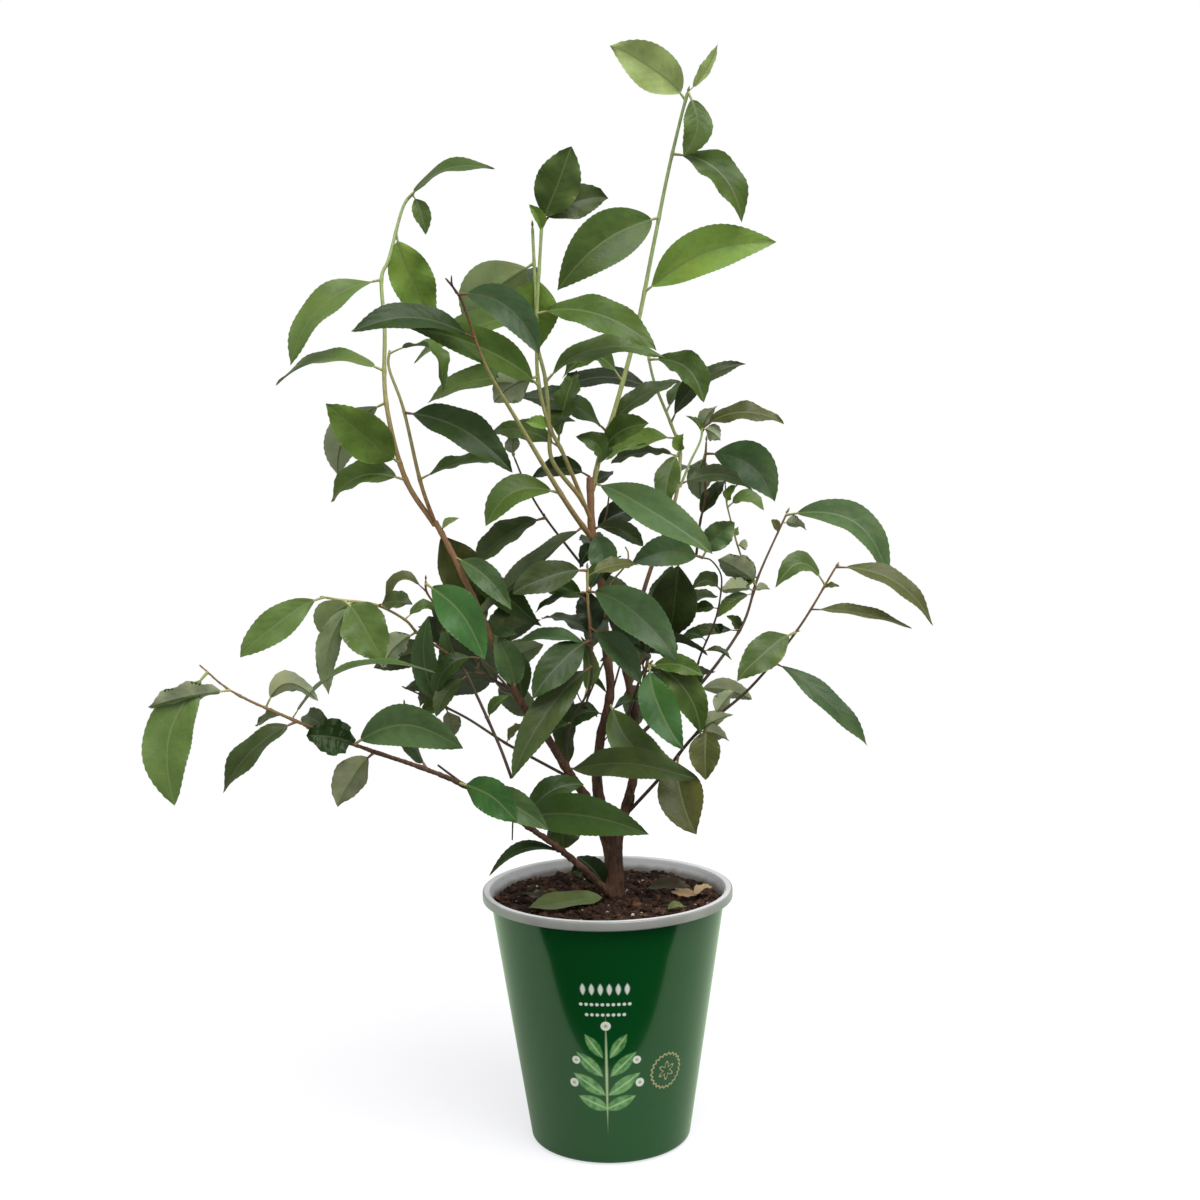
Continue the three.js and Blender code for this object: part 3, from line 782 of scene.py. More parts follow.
def barkMaterial():
    s = Shader("stem bark", IOR=1.45)
    x, _, z = s.axes(s.place())
    stretched = s.node("ShaderNodeMapping", inputs={"Vector": s.place(), "Scale": (1, 1, 0.18)})
    streak = s.noise(900, 4, 0.65, stretched)
    patch = s.noise(90, 3, 0.6)
    squashed = s.node("ShaderNodeMapping", inputs={"Vector": s.place(), "Scale": (0.15, 0.15, 1)})
    ring = s.noise(420, 2, 0.5, squashed)
    rise = (z / mm + 30 * patch).step(245, 315)
    tip = (0 - x / mm + 16 * patch).step(128, 158)
    colour = s.mix(srgb(62, 43, 33), srgb(112, 80, 58), (streak * 0.7 + patch * 0.5).step(0.4, 0.8))
    colour = s.mix(colour, srgb(172, 132, 92), rise * (0.6 + 0.3 * streak))
    colour = s.mix(colour, srgb(146, 118, 78), tip)
    colour = s.mix(colour, srgb(112, 98, 84), streak.step(0.62, 0.74) * 0.45)
    relief = streak + 0.5 * ring + 0.5 * patch
    return s.finish(colour, 0.72 + 0.15 * streak, relief, 0.35 * mm, 0.8)


def limbPath(name):
    return smoothPath(wood["limbs"][name], 1)


def limbRadii(name, path):
    given = wood["radii"][name]
    radii = np.interp(np.linspace(0, len(given) - 1, len(path)), range(len(given)), given)
    knots = wood["nodes"].get(name, 0)
    at = np.linspace(0, 1, len(path))
    for k in range(knots):
        knot = (k + 0.7) / knots
        beside = (at - knot) * len(path) / wood["knotReach"]
        radii = radii * (1 + wood["knot"] * np.exp(-beside ** 2))
    return radii


def makeWood():
    build = Build()
    for name in wood["limbs"]:
        path = limbPath(name)
        loft(tubeRings(path, limbRadii(name, path), wood["sides"]), build)
    piece = build.piece("stems", [])
    remesh = piece.modifiers.new("remesh", "REMESH")
    remesh.mode = "VOXEL"
    remesh.voxel_size = wood["grain"] * mm
    ease = piece.modifiers.new("ease", "SMOOTH")
    ease.iterations = 6
    bake(piece)
    mesh = piece.data
    points = np.empty(len(mesh.vertices) * 3)
    normals = np.empty(len(mesh.vertices) * 3)
    mesh.vertices.foreach_get("co", points)
    mesh.vertex_normals.foreach_get("vector", normals)
    points = points.reshape(-1, 3) / mm
    normals = normals.reshape(-1, 3)
    lift = np.empty(len(points))
    relief = wood["relief"]
    for i, (x, y, z) in enumerate(points):
        furrow = noise.noise(Vector((x * 0.9, y * 0.9, z * 0.13)))
        lump = noise.noise(Vector((x * 0.25, y * 0.25, z * 0.22 + 40)))
        fine = noise.noise(Vector((x * 2.2, y * 2.2, z * 0.8)))
        heavy = max(relief["least"], min(1, 1.35 - (z - 125) / 90))
        lift[i] = (relief["furrow"] * furrow + relief["lump"] * lump + relief["fine"] * fine) * heavy
    points += normals * lift[:, None]
    mesh.vertices.foreach_set("co", (points * mm).ravel())
    mesh.materials.append(barkMaterial())
    mesh.shade_smooth()
    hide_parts(*nodesOf({"bark"}))
    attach(piece, "root")
    print("stems made:", len(mesh.polygons), "faces")


blade = {
    "tooth": 2.9,  # mm from one tooth to the next
    "toothDepth": 0.28, "thick": 0.3, "petiole": 4,
    "rib": (0.62, 0.26),  # half width of the midrib in mm, at the foot and at the tip
    "foot": 0.84, "point": 0.98,  # how fast the outline widens and narrows
    "fold": (7, 22), "ripple": (0.3, 1.3), "twist": 14, "sway": 0.035,
    "waves": (1.6, 3.4),  # how often the margin rises and falls from foot to tip
    "crumple": (3.4, 4.6),  # ripple and waves of a crumpled leaf
    "small": 30,  # mm, the length below which a leaf is bent and twisted more
    "toothed": (0.12, 0.95), "toothLean": 0.9, "cup": (-0.5, 1.0), "cupDepth": 0.02,
    "cuts": [0.4, 0.72, 1], "fewCuts": [0.6, 1], "fewBelow": (9, 26),  # width and length in mm
    "thinMargin": 0.75, "ribDepth": 0.55,
}

# piece, upper face, underside; the finish of each kind of leaf
leafKinds = {
    "shade": ("leavesDark", (0.012, 0.026, 0.005), (0.040, 0.052, 0.022)),
    "dark": ("leavesDark", (0.026, 0.060, 0.007), (0.062, 0.082, 0.036)),
    "deep": ("leavesDark", (0.044, 0.070, 0.015), (0.10, 0.13, 0.06)),
    "blue": ("leavesDark", (0.052, 0.106, 0.033), (0.085, 0.115, 0.065)),
    "crumpled": ("leavesDark", (0.020, 0.052, 0.008), (0.07, 0.10, 0.05)),
    "mid": ("leavesMid", (0.070, 0.128, 0.018), (0.14, 0.18, 0.085)),
    "green": ("leavesMid", (0.095, 0.158, 0.034), (0.17, 0.22, 0.10)),
    "cool": ("leavesMid", (0.078, 0.142, 0.046), (0.15, 0.19, 0.10)),
    "lush": ("leavesMid", (0.040, 0.122, 0.024), (0.13, 0.18, 0.09)),
    "olive": ("leavesMid", (0.100, 0.112, 0.030), (0.17, 0.19, 0.10)),
    "grey": ("leavesMid", (0.06, 0.115, 0.022), (0.33, 0.38, 0.22)),
    "bright": ("leavesBright", (0.160, 0.270, 0.042), (0.24, 0.32, 0.14)),
    # the pale kind's light underside is partly painted light: it stands for an underside lit through from
    # behind
    "pale": ("leavesBright", (0.16, 0.24, 0.05), (0.31, 0.40, 0.17)),
    "young": ("leavesBright", (0.350, 0.450, 0.150), (0.32, 0.44, 0.16)),
}
leafPieces = {  # the foliage slot that each piece replaces
    "leavesDark": "dark_foliage", "leavesMid": "mid_foliage", "leavesBright": "bright_foliage",
}


def leafMaterial(name, tint, under):
    s = Shader(name, IOR=1.45, Specular_IOR_Level=0.3)
    u, v, _ = s.axes(s.node("ShaderNodeUVMap", {"uv_map": "blade"}))
    reach = (u * 2 - 1).abs()
    side = u.step(0.499, 0.501)
    sway = s.noise(55, 1)
    phase = ((v - 0.24 * reach ** 1.3) * 7 + side * 0.45 + sway * 1.8).fract()
    vein = 1 - (phase - 0.5).abs().step(0.01, 0.09)
    vein = vein * (1 - reach.step(0.4, 0.8))
    swell = (phase - 0.5).abs() * (1 - reach.step(0.6, 0.95))
    grain = s.noise(1500, 2)
    mottle = s.noise(160, 3, 0.6)
    tone = s.attribute("tone")
    blotch = s.noise(48, 2)
    light = [min(1, c * 1.4 + 0.004) for c in tint]
    deep = [c * 0.7 for c in tint]
    colour = s.mix(deep, light, (tone * 0.45 + mottle * 0.7 + reach * 0.25 - 0.2).step(0, 1))
    yellow = [min(1, c * d) for c, d in zip(tint, (1.6, 1.35, 1.1))]
    colour = s.mix(colour, yellow, blotch.step(0.5, 0.72) * 0.55)
    pale = [min(1, c * 1.3 + 0.02) for c in tint]
    colour = s.mix(colour, pale, vein * (0.3 if under else 0.14))
    margin = [min(1, c * 1.25 + 0.01) for c in tint]
    colour = s.mix(colour, margin, reach.step(0.93, 0.99) * 0.6)
    relief = swell * (0.5 if under else 0.32) + grain * 0.12 + mottle * 0.7
    if under:
        return s.finish(colour, 0.6 + 0.1 * grain, 1.2 - relief, 0.3 * mm, 0.5)
    return s.finish(colour, 0.32 + 0.2 * mottle, relief, 0.5 * mm, 0.8)


def ribMaterial(name, tint):
    s = Shader(name, IOR=1.45)
    tone = s.attribute("tone")
    grain = s.noise(700, 2)
    deep = [c * 0.75 for c in tint]
    return s.finish(s.mix(deep, tint, tone * 0.5 + grain * 0.5), 0.5, grain, 0.1 * mm)


class Leaf:
    # one leaf of given foot, direction, upper side and size, all in mm; bow is where its middle lifts to
    def __init__(self, foot, heading, up, length, width, kind, bow):
        self.foot = foot
        self.heading = heading
        self.up = up
        self.length = length
        self.width = width
        self.kind = kind
        self.bow = bow
        self.start = min(blade["petiole"], 0.12 * length) / length  # where the blade begins

    def midline(self, share):
        share = np.atleast_1d(share)[:, None]
        return self.foot + self.heading * self.length * share + self.bow * 4 * share * (1 - share)


def bladeShape(leaf, rng, build, looks, fold=None):
    length, width = leaf.length, leaf.width
    start = leaf.start
    small = max(0, 1 - length / blade["small"])
    teeth = max(6, round(length * (1 - start) / blade["tooth"]))
    rows = 2 * teeth
    along = np.arange(rows + 1) / rows
    spine = leaf.midline(start + (1 - start) * along)
    sway = rng.uniform(-1, 1) * blade["sway"] * length * np.sin(math.pi * along) ** 2
    spine = spine + np.cross(leaf.heading, leaf.up) * sway[:, None]
    tangent = np.gradient(spine, axis=0)
    tangent /= np.linalg.norm(tangent, axis=1)[:, None]
    up = leaf.up - tangent * (tangent @ leaf.up)[:, None]
    up /= np.linalg.norm(up, axis=1)[:, None]
    side = np.cross(tangent, up)
    twist = math.radians(rng.uniform(-1, 1) * (blade["twist"] + 90 * small)) * (along - 0.2)
    side, up = (
        side * np.cos(twist)[:, None] + up * np.sin(twist)[:, None],
        up * np.cos(twist)[:, None] - side * np.sin(twist)[:, None],
    )
    foot = blade["foot"] * rng.uniform(0.9, 1.15)
    point = blade["point"] * rng.uniform(0.9, 1.2 + small)
    peak = foot / (foot + point)
    half = width / 2 * along**foot * (1 - along) ** point / (peak**foot * (1 - peak) ** point)
    fold = math.radians(rng.uniform(*blade["fold"]) + 30 * small if fold is None else fold)
    ripple = rng.uniform(*blade["ripple"]) * min(1, width / 16)
    waves = rng.uniform(*blade["waves"])
    if leaf.kind == "crumpled":
        ripple, waves = blade["crumple"]
    phases = rng.uniform(0, math.tau), rng.uniform(0, math.tau)
    cup = rng.uniform(*blade["cup"]) * width * blade["cupDepth"]
    rib = np.minimum(np.interp(along, [0, 1], blade["rib"]) * min(1, width / 14), half * 0.3)
    slim, short = blade["fewBelow"]
    cuts = blade["cuts"] if width > slim and length > short else blade["fewCuts"]
    # a column is a side and a cut: cut 0 is the midrib's edge, and side 0 its crest
    columns = [(-1, cut) for cut in reversed(cuts)] + [(-1, 0), (0, 0), (1, 0)] + [(1, cut) for cut in cuts]
    tooth = (np.arange(rows + 1) % 2 == 1) * (along > blade["toothed"][0]) * (along < blade["toothed"][1])
    tooth = tooth * blade["toothDepth"] * np.minimum(1, half / 3)
    inner = rows - 1
    # the foot and the tip are single points that both faces share, as they share the two margins
    points = [spine[:1], spine[-1:]]
    maps = [np.array([[0.5, 0.0]]), np.array([[0.5, 1.0]])]
    topAt = []
    underAt = []
    count = 2
    for hand, cut in columns:
        lateral = hand * (half * cut if cut else rib)
        if cut == 1:
            lateral = lateral + hand * tooth
        reach = np.abs(lateral)
        share = reach / np.maximum(half, 0.01)
        wave = ripple * share**2 * np.sin(math.tau * waves * along + phases[hand > 0])
        lift = np.maximum(reach - rib, 0) * math.sin(fold) + wave - cup * share**2 * np.sin(math.pi * along)
        place = spine + side * (lateral * math.cos(fold))[:, None] + up * lift[:, None]
        if cut == 1:
            place = place + tangent * (tooth * blade["toothLean"])[:, None]
        mapping = np.column_stack([0.5 + 0.5 * np.clip(lateral / np.maximum(half, 0.01), -1, 1), along])
        topAt.append(count)
        points.append(place[1:-1])
        maps.append(mapping[1:-1])
        count += inner
        if cut == 1:
            underAt.append(topAt[-1])
            continue
        thick = blade["thick"] * (blade["thinMargin"] if cut > 0.6 else 1)
        if hand == 0:
            thick = thick + blade["ribDepth"] * (1.1 - along) * min(1, width / 14)
        underAt.append(count)
        points.append((place - up * np.reshape(thick * np.ones(rows + 1), (-1, 1)))[1:-1])
        maps.append(mapping[1:-1])
        count += inner
    faces = []
    kinds = []
    for c in range(len(columns) - 1):
        onRib = columns[c][1] == 0 and columns[c + 1][1] == 0
        for at, isTop in ((topAt, True), (underAt, False)):
            a, b = at[c], at[c + 1]
            strip = [(a + r, b + r, b + r + 1, a + r + 1) for r in range(inner - 1)]
            strip += [(0, b, a), (1, a + inner - 1, b + inner - 1)]
            if not isTop:
                strip = [tuple(reversed(face)) for face in strip]
            faces += strip
            kinds += [looks[2] if onRib else looks[0 if isTop else 1]] * len(strip)
    build.add(np.vstack(points), faces, kinds, rng.uniform(0, 1), np.vstack(maps))


# Most of these numbers were worked out by a program and then edited.
# A leaf is where it sits along its shoot, the angle it points at, its length and width, how far it leans
# forward, how far its blade is rolled, its kind, and how high it bows where that is out of the usual.
# Past 90 degrees of roll it shows its underside. Age runs along a shoot: 0 is old bark, 1 is new green.
shoots = {
    "leader": {
        "path": [(-4.5, -3, 338), (0, 0, 357), (8, 4, 380), (19.5, 8, 420), (28, 10, 459), (36, 8, 496),
                 (42.5, 4, 522), (46.3, 1, 535.5)],
        "radius": (1.35, 0.8), "age": (0.6, 0.8, 0.95, 1),
        "leaves": [
            (0.02, -31, 77, 21, 30, 25, "cool", 4), (0.05, 120, 21, 13, 15, 35, "green", 8),
            (0.1, 30, 32, 15, 30, 25, "mid"), (0.15, 158, 51, 17, 20, 50, "dark"),
            (0.16, 32, 45, 14, -10, 45, "deep"), (0.28, 176, 32, 15, 15, 45, "mid", 12),
            (0.51, 19, 71, 25, 10, 15, "bright"), (0.695, -144, 68, 27, 20, 5, "mid"),
            (0.85, -47, 51, 19, 15, 25, "mid", 10), (0.98, 146, 46, 23, 10, 5, "young"),
            (1, -95, 33, 15, 10, -15, "green", -5), (1, 56, 27, 7, 15, 30, "young", -2),
        ],
    },
    "twinA": {
        "path": [(-4.5, -4, 321), (-18, -22, 356), (-25, -27, 371), (-30, -31, 394), (-30, -35, 424),
                 (-31, -38, 466)],
        "radius": (1.1, 0.75), "age": (0.45, 0.7, 0.9),
        "leaves": [
            (0.3, 168, 40, 15, -20, 45, "mid"), (0.37, 15, 14, 8, 20, 60, "deep"),
            (0.37, 165, 13, 8, 15, 35, "bright"), (0.51, 156, 75, 19, 25, 20, "mid"),
            (0.52, -171, 57, 19, -10, 50, "green"), (0.54, -150, 25, 19, 10, 165, "grey"),
            (0.72, -163, 73, 18, -25, 40, "green"), (0.89, -134, 53, 30, -30, 165, "pale"),
        ],
    },
    "twinB": {
        "path": [(-8.5, -9.5, 331), (-12, -14, 337), (-24, -22, 354), (-25, -26, 371),
                 (-26.5, -30, 394), (-30.5, -34, 413),
                 (-29.5, -36, 429), (-26.5, -38, 467)],
        "radius": (1.2, 0.75), "age": (0.5, 0.75, 0.95),
        "leaves": [
            (0.48, 10, 60, 18, 10, 50, "green", 12), (0.71, -19, 64, 19, 20, 28, "mid", 9),
            (0.85, -91, 38, 25, -20, 5, "bright"), (0.97, 112, 15, 7, 15, 30, "bright"),
            (1, 22, 36, 19, -15, 10, "deep", 5), (1, 67, 39, 22, 10, 0, "green", 0),
        ],
    },
    "inner": {
        "path": [(-4.5, -4, 313), (-17.5, -20, 333), (-38, -40, 370), (-53.5, -54, 399), (-61, -60, 421),
                 (-64, -63, 430), (-67, -64, 435), (-71, -64, 440)],
        "radius": (1.5, 0.5), "age": (0.42, 0.62, 0.66, 0.1), "bud": 0,
        "leaves": [
            (0.07, -140, 84, 17, 25, 118, "deep", 2), (0.22, -158, 42, 17, 20, 35, "mid", 9),
            (0.8, 177, 59, 17, 20, 45, "dark"), (0.94, -38, 53, 17, 25, 15, "blue", 9),
        ],
    },
    "innerFork": {"path": [(-66, -63, 433), (-68, -65, 437),
                           (-68, -66, 441)], "radius": (0.6, 0.35), "age": (0.1, 0.05),
                  "bud": 0},
    "midTwig": {
        "path": [(-10, -6, 300), (-28, -14, 325), (-37, -18, 341), (-43, -20, 356)],
        "radius": (0.7, 0.45), "age": (0.1, 0.15),
        "leaves": [(0.48, -146, 44, 17, 15, 40, "deep"), (1, 82, 13, 9, 0, 160, "grey")],
    },
    "front": {
        "path": [(-21, -14, 203), (-17, -20, 222), (-7, -26, 242), (-6.5, -30, 264), (-7.5, -32, 284),
                 (-7.5, -34, 301)],
        "radius": (0.6, 0.65), "age": (0.1, 0.12, 0.25, 0.75),
        "leaves": [
            (0.2, -150, 15, 8, 20, 50, "grey"), (0.52, -128, 70, 17, 25, 15, "deep"),
            (0.62, 175, 37, 12, 10, 60, "blue"), (0.65, -138, 44, 18, 30, 15, "dark"),
            (0.65, 100, 25, 14, -15, 5, "shade"), (0.71, -46, 43, 14, 35, 20, "blue"),
            (0.84, 163, 29, 12, -30, 20, "dark"), (0.88, -161, 28, 8, 10, 65, "dark"),
            (0.89, -37, 64, 22, 35, 15, "blue", 8), (0.96, 10, 28, 10, -20, 45, "olive"),
            (0.99, -165, 40, 17, 20, 25, "deep"),
        ],
    },
    "top": {
        "path": [(11, 10, 247), (16.5, 14, 269), (25, 20, 295), (38.5, 28, 330), (42, 34, 356),
                 (38, 36, 370),
                 (29.5, 38, 392), (26, 40, 407)],
        "radius": (1.3, 0.7), "age": (0.1, 0.3, 0.7, 0.95),
        "leaves": [
            (0.58, -7, 45, 14, -20, 50, "deep", 8), (0.67, -175, 39, 12, -20, 118, "mid"),
            (0.68, 80, 11, 9, 10, 20, "bright"), (0.69, -106, 34, 14, 25, 15, "green"),
            (0.73, -164, 41, 14, -15, 45, "bright"), (0.78, 37, 52, 14, -10, 45, "deep", 8),
            (0.89, 180, 57, 15, -10, 50, "shade"), (0.99, -40, 40, 18, 25, 25, "mid", 8),
        ],
    },
    "topB": {
        "path": [(41.5, 30, 338), (47, 30, 351), (52.5, 31, 362), (54, 32, 370)],
        "radius": (0.75, 0.5), "age": (0.8, 0.95), "bud": 0.6,
        "leaves": [
            (0.89, 133, 13, 6, 10, 50, "bright"), (0.95, 57, 15, 9, 15, 165, "grey"),
            (0.96, -35, 13, 11, 30, 165, "grey"), (0.96, 2, 43, 14, 10, 45, "olive", 8),
        ],
    },
    "topC": {
        "path": [(51, 52, 300), (53.5, 55, 318), (56.5, 57, 331), (56.5, 58, 346), (57.5, 58, 362)],
        "radius": (0.75, 0.55), "age": (0.15, 0.3),
        "leaves": [
            (0.31, 55, 28, 10, -20, 35, "deep"), (0.89, -36, 47, 24, 20, 15, "blue", 8),
            (0.9, -95, 27, 15, -15, 165, "grey"),
        ],
    },
    "rightThin": {
        "path": [(82, 41, 286), (76.5, 40, 295), (72.5, 39, 306), (69, 38, 319), (66.5, 37, 330),
                 (66, 37, 339)],
        "radius": (0.55, 0.4), "age": (0.5, 0.6), "bud": 0.5,
        "leaves": [
            (0.41, -33, 6, 8, 30, 140, "grey"), (0.49, 70, 6, 5, 10, 10, "young"),
            (0.78, -5, 20, 11, 20, 45, "green", 6), (0.82, 59, 12, 8, 10, 40, "bright"),
        ],
    },
    "upper": {
        "path": [(14.5, 11, 206), (29, 18, 218), (48.5, 25, 231), (73.5, 36, 262), (84, 42, 290),
                 (100, 48, 323)],
        "radius": (1.1, 0.5), "age": (0.1, 0.12, 0.2, 0.3),
        "leaves": [
            (0.29, -8, 31, 13, 20, 155, "grey"), (0.55, -170, 34, 8, 0, 40, "deep", 3),
            (0.55, 130, 12, 8, 20, 10, "deep"),
            (0.69, -149, 24, 8, 15, 40, "green"), (0.7, 5, 9, 7, 10, 150, "grey"),
            (0.7, 177, 22, 12, 30, 150, "grey"), (0.72, 144, 30, 17, 30, 155, "grey"),
            (0.75, -161, 14, 12, 10, 30, "deep"), (0.92, 115, 8, 6, 0, 30, "olive"),
            (0.96, -17, 14, 9, 15, 150, "grey"), (0.99, -36, 67, 20, 15, 30, "cool", 17),
        ],
    },
    "heart": {
        "path": [(45.5, 25, 230), (51, 24, 249), (58.5, 22, 267), (61.5, 20, 280), (62, 18, 292),
                 (57, 15, 300),
                 (52, 12, 302)],
        "radius": (0.6, 0.4), "age": (0.1, 0.15),
        "leaves": [
            (0, 53, 13, 9, 20, 30, "deep"), (0.28, -16, 17, 6, 20, 60, "deep"),
            (0.35, -178, 14, 7, 10, 40, "dark", 4),
            (0.48, -64, 7, 7, 0, 20, "shade"), (0.58, -171, 17, 8, -20, 30, "dark"),
            (0.7, 177, 17, 11, 15, 40, "deep", 5),
            (1, -179, 43, 17, 30, 15, "blue"),
            (1, 48, 25, 15, 10, 10, "cool"),
        ],
    },
    "heartTip": {
        "path": [(52, 12, 302), (46, 14, 303),
                 (40, 16, 302)], "radius": (0.4, 0.35), "age": (0.15, 0.2), "bud": 0,
        "leaves": [(1, -97, 44, 25, -10, 10, "deep", 0)],
    },
    "lowRight": {
        "path": [(10.5, 5, 169), (29, -4, 191), (47, -14, 215), (73, -24, 239), (96, -32, 269),
                 (114, -38, 300)],
        "radius": (1.0, 0.5), "age": (0.1, 0.12, 0.22, 0.4),
        "leaves": [
            (0.26, -78, 43, 24, 30, 0, "olive", -4), (0.36, -13, 18, 11, 30, 165, "grey"),
            (0.36, 29, 21, 10, 20, 165, "grey"), (0.39, -92, 28, 17, 20, 5, "olive", 0),
            (0.43, 52, 16, 11, -10, 160, "grey"), (0.67, -42, 62, 13, 15, 35, "blue", 5),
            (0.78, -144, 40, 17, 20, 20, "green"), (0.86, -11, 50, 11, 10, 60, "olive", 3),
            (0.93, 7, 8, 4, 10, 50, "olive"), (0.94, 180, 27, 13, 20, 45, "green", 11),
            (1, -32, 55, 13, 10, 45, "olive", 9),
        ],
    },
    "frontRight": {
        "path": [(12, 11, 220), (16.5, 2, 235), (20, -8, 246), (23.5, -14, 251)],
        "radius": (0.9, 0.6), "age": (0.15, 0.3),
        "leaves": [
            (0.92, -8, 30, 11, 20, 25, "mid"), (0.97, -68, 51, 19, 35, 5, "lush", -4),
            (0.97, -55, 44, 17, 10, 10, "mid", 8),
        ],
    },
    "leftTop": {
        "path": [(-82.5, -26, 323), (-97.5, -20, 347), (-107, -10, 385), (-107.5, -3, 421), (-109, 2, 446),
                 (-105, 4, 457), (-98, 8, 482), (-92, 9, 490)],
        "radius": (1.4, 0.75), "age": (0.4, 0.55, 0.85, 1), "bud": 0,
        "leaves": [
            (0.15, -165, 41, 19, -10, 45, "mid", 8), (0.2, 138, 48, 23, 20, 5, "bright", 0),
            (0.38, -128, 51, 19, -25, 150, "grey", 8), (0.47, -174, 60, 18, -15, 65, "green", 10),
            (0.73, -136, 64, 19, 15, 35, "green", 10), (0.87, -69, 50, 22, -12, 5, "bright", -2),
            (0.99, -72, 22, 10, 10, 10, "green"), (0.97, 16, 48, 16, 10, 60, "mid", 7),
        ],
    },
    "leftInner": {
        "path": [(-82.5, -26, 324), (-89, -28, 345), (-96, -30, 380), (-102.5, -30, 400), (-102, -30, 409)],
        "radius": (1.1, 0.65), "age": (0.4, 0.6, 0.7), "bud": 0,
        "leaves": [
            (0.26, 8, 46, 14, -15, 66, "mid", 5), (0.64, -29, 65, 20, 20, 30, "dark"),
            (0.98, -36, 35, 12, 20, 75, "mid", 14),
        ],
    },
    "smallLeft": {
        "path": [(-73.5, -36, 259), (-78, -38, 272), (-81.5, -42, 284), (-85.5, -46, 292),
                 (-85.5, -48, 298)],
        "radius": (0.65, 0.5), "age": (0.1, 0.4), "bud": 0.6,
        "leaves": [(0.84, -170, 20, 10, 0, 70, "olive", 9), (0.95, -49, 52, 21, 30, 5, "lush")],
    },
    "side": {
        "path": [(-46, -49, 200), (-51, -47, 214), (-57, -45, 228), (-63, -42, 241), (-69, -40, 253),
                 (-77, -40, 261),
                 (-90, -44, 271), (-96, -50, 279), (-109, -56, 287), (-124, -62, 290), (-132, -66, 292)],
        "radius": (0.8, 0.6), "age": (0.1, 0.12, 0.5, 0.7), "bud": 0.5,
        "leaves": [
            (0.22, 49, 17, 8, 10, 50, "grey"), (0.39, -129, 26, 10, 25, 30, "deep"),
            (0.63, -135, 24, 15, 10, 165, "grey"),
            (0.7, 3, 20, 9, -10, 60, "mid", 5), (0.81, 2, 18, 11, 15, 25, "deep"),
            (0.88, -132, 31, 19, -30, 160, "pale", 5),
            (0.9, -104, 46, 12, 15, 150, "green"), (0.93, -55, 39, 23, 25, 5, "green"),
            (1, -145, 48, 16, 15, 5, "green"),
        ],
    },
    "sideTwig": {
        "path": [(-44.5, -26, 237), (-52.5, -32, 248), (-59, -36, 256), (-62, -38, 259)],
        "radius": (0.7, 0.5), "age": (0.1, 0.2), "bud": 0.5,
        "leaves": [(0.95, -141, 29, 11, 20, 30, "dark", 8)],
    },
    "twigMid": {
        "path": [(-21, -13, 194), (-39.5, -20, 206), (-50.5, -23, 213), (-67.5, -29, 226), (-80, -34, 234)],
        "radius": (0.8, 0.6), "age": (0.1, 0.2), "bud": 0.5,
        "leaves": [
            (0.48, 42, 16, 8, 10, 50, "olive"), (0.98, -86, 19, 11, -25, 160, "olive"),
            (1, -163, 12, 10, -10, 20, "mid"),
            (1, 88, 44, 10, 5, 20, "cool", -1), (1, 95, 50, 13, 20, 5, "cool", -6),
        ],
    },
    "middle": {"limb": "middle", "leaves": [
        (0.38, -162, 24, 12, 20, 40, "dark", 6), (0.42, -40, 59, 20, 30, 25, "green", -7),
        (0.43, 147, 24, 6, 5, 60, "dark"),
        (0.68, -51, 33, 17, -20, 10, "shade"), (0.77, -177, 11, 10, 25, 60, "shade", 8),
        (0.86, 23, 30, 14, -25, 20, "shade"),
        (0.86, -75, 30, 15, 35, 0, "blue"), (0.87, -20, 28, 10, 10, 30, "deep", 4),
        (1, -178, 31, 14, -15, 40, "dark", 6),
    ]},
    "left": {"limb": "left", "leaves": [
        (0.28, 3, 78, 17, 35, 35, "deep", 4), (0.53, 108, 32, 15, 10, 5, "cool"),
        (0.6, 79, 39, 12, -20, 10, "deep"),
        (0.64, 41, 14, 8, 10, 40, "blue", 6), (0.9, -41, 42, 13, 25, 10, "cool"),
        (0.97, 35, 12, 5, 10, 50, "young"),
        (0.98, -66, 58, 25, -30, 10, "olive", -1),
        (0.88, -40, 56, 14, -20, 15, "dark", 0),
    ]},
    "low": {"limb": "low", "leaves": [
        (0.06, 126, 25, 13, 15, 10, "shade"), (0.14, -169, 7, 8, 20, 20, "shade"),
        (0.2, -169, 41, 10, 20, 65, "dark", 8),
        (0.2, 83, 23, 18, 10, 5, "deep"), (0.31, 33, 35, 14, -10, 30, "dark", 8),
        (0.33, 2, 77, 20, 35, 20, "dark", 7),
        (0.44, -26, 41, 16, 15, 10, "cool"), (0.48, -28, 38, 17, 30, 5, "lush"),
        (0.65, -125, 31, 18, 15, 160, "olive"),
        (0.68, 163, 26, 19, 20, 10, "crumpled"), (0.69, 2, 59, 20, 25, 10, "cool", 9),
        (0.8, -137, 47, 16, 15, 45, "deep"),
        (0.81, 18, 74, 9, 10, 80, "grey", 15), (0.86, 8, 26, 12, 10, 150, "grey", 10),
        (0.93, -172, 38, 14, 25, 140, "grey", 1),
        (0.98, -102, 63, 23, 20, 5, "green", 8),
    ]},
}

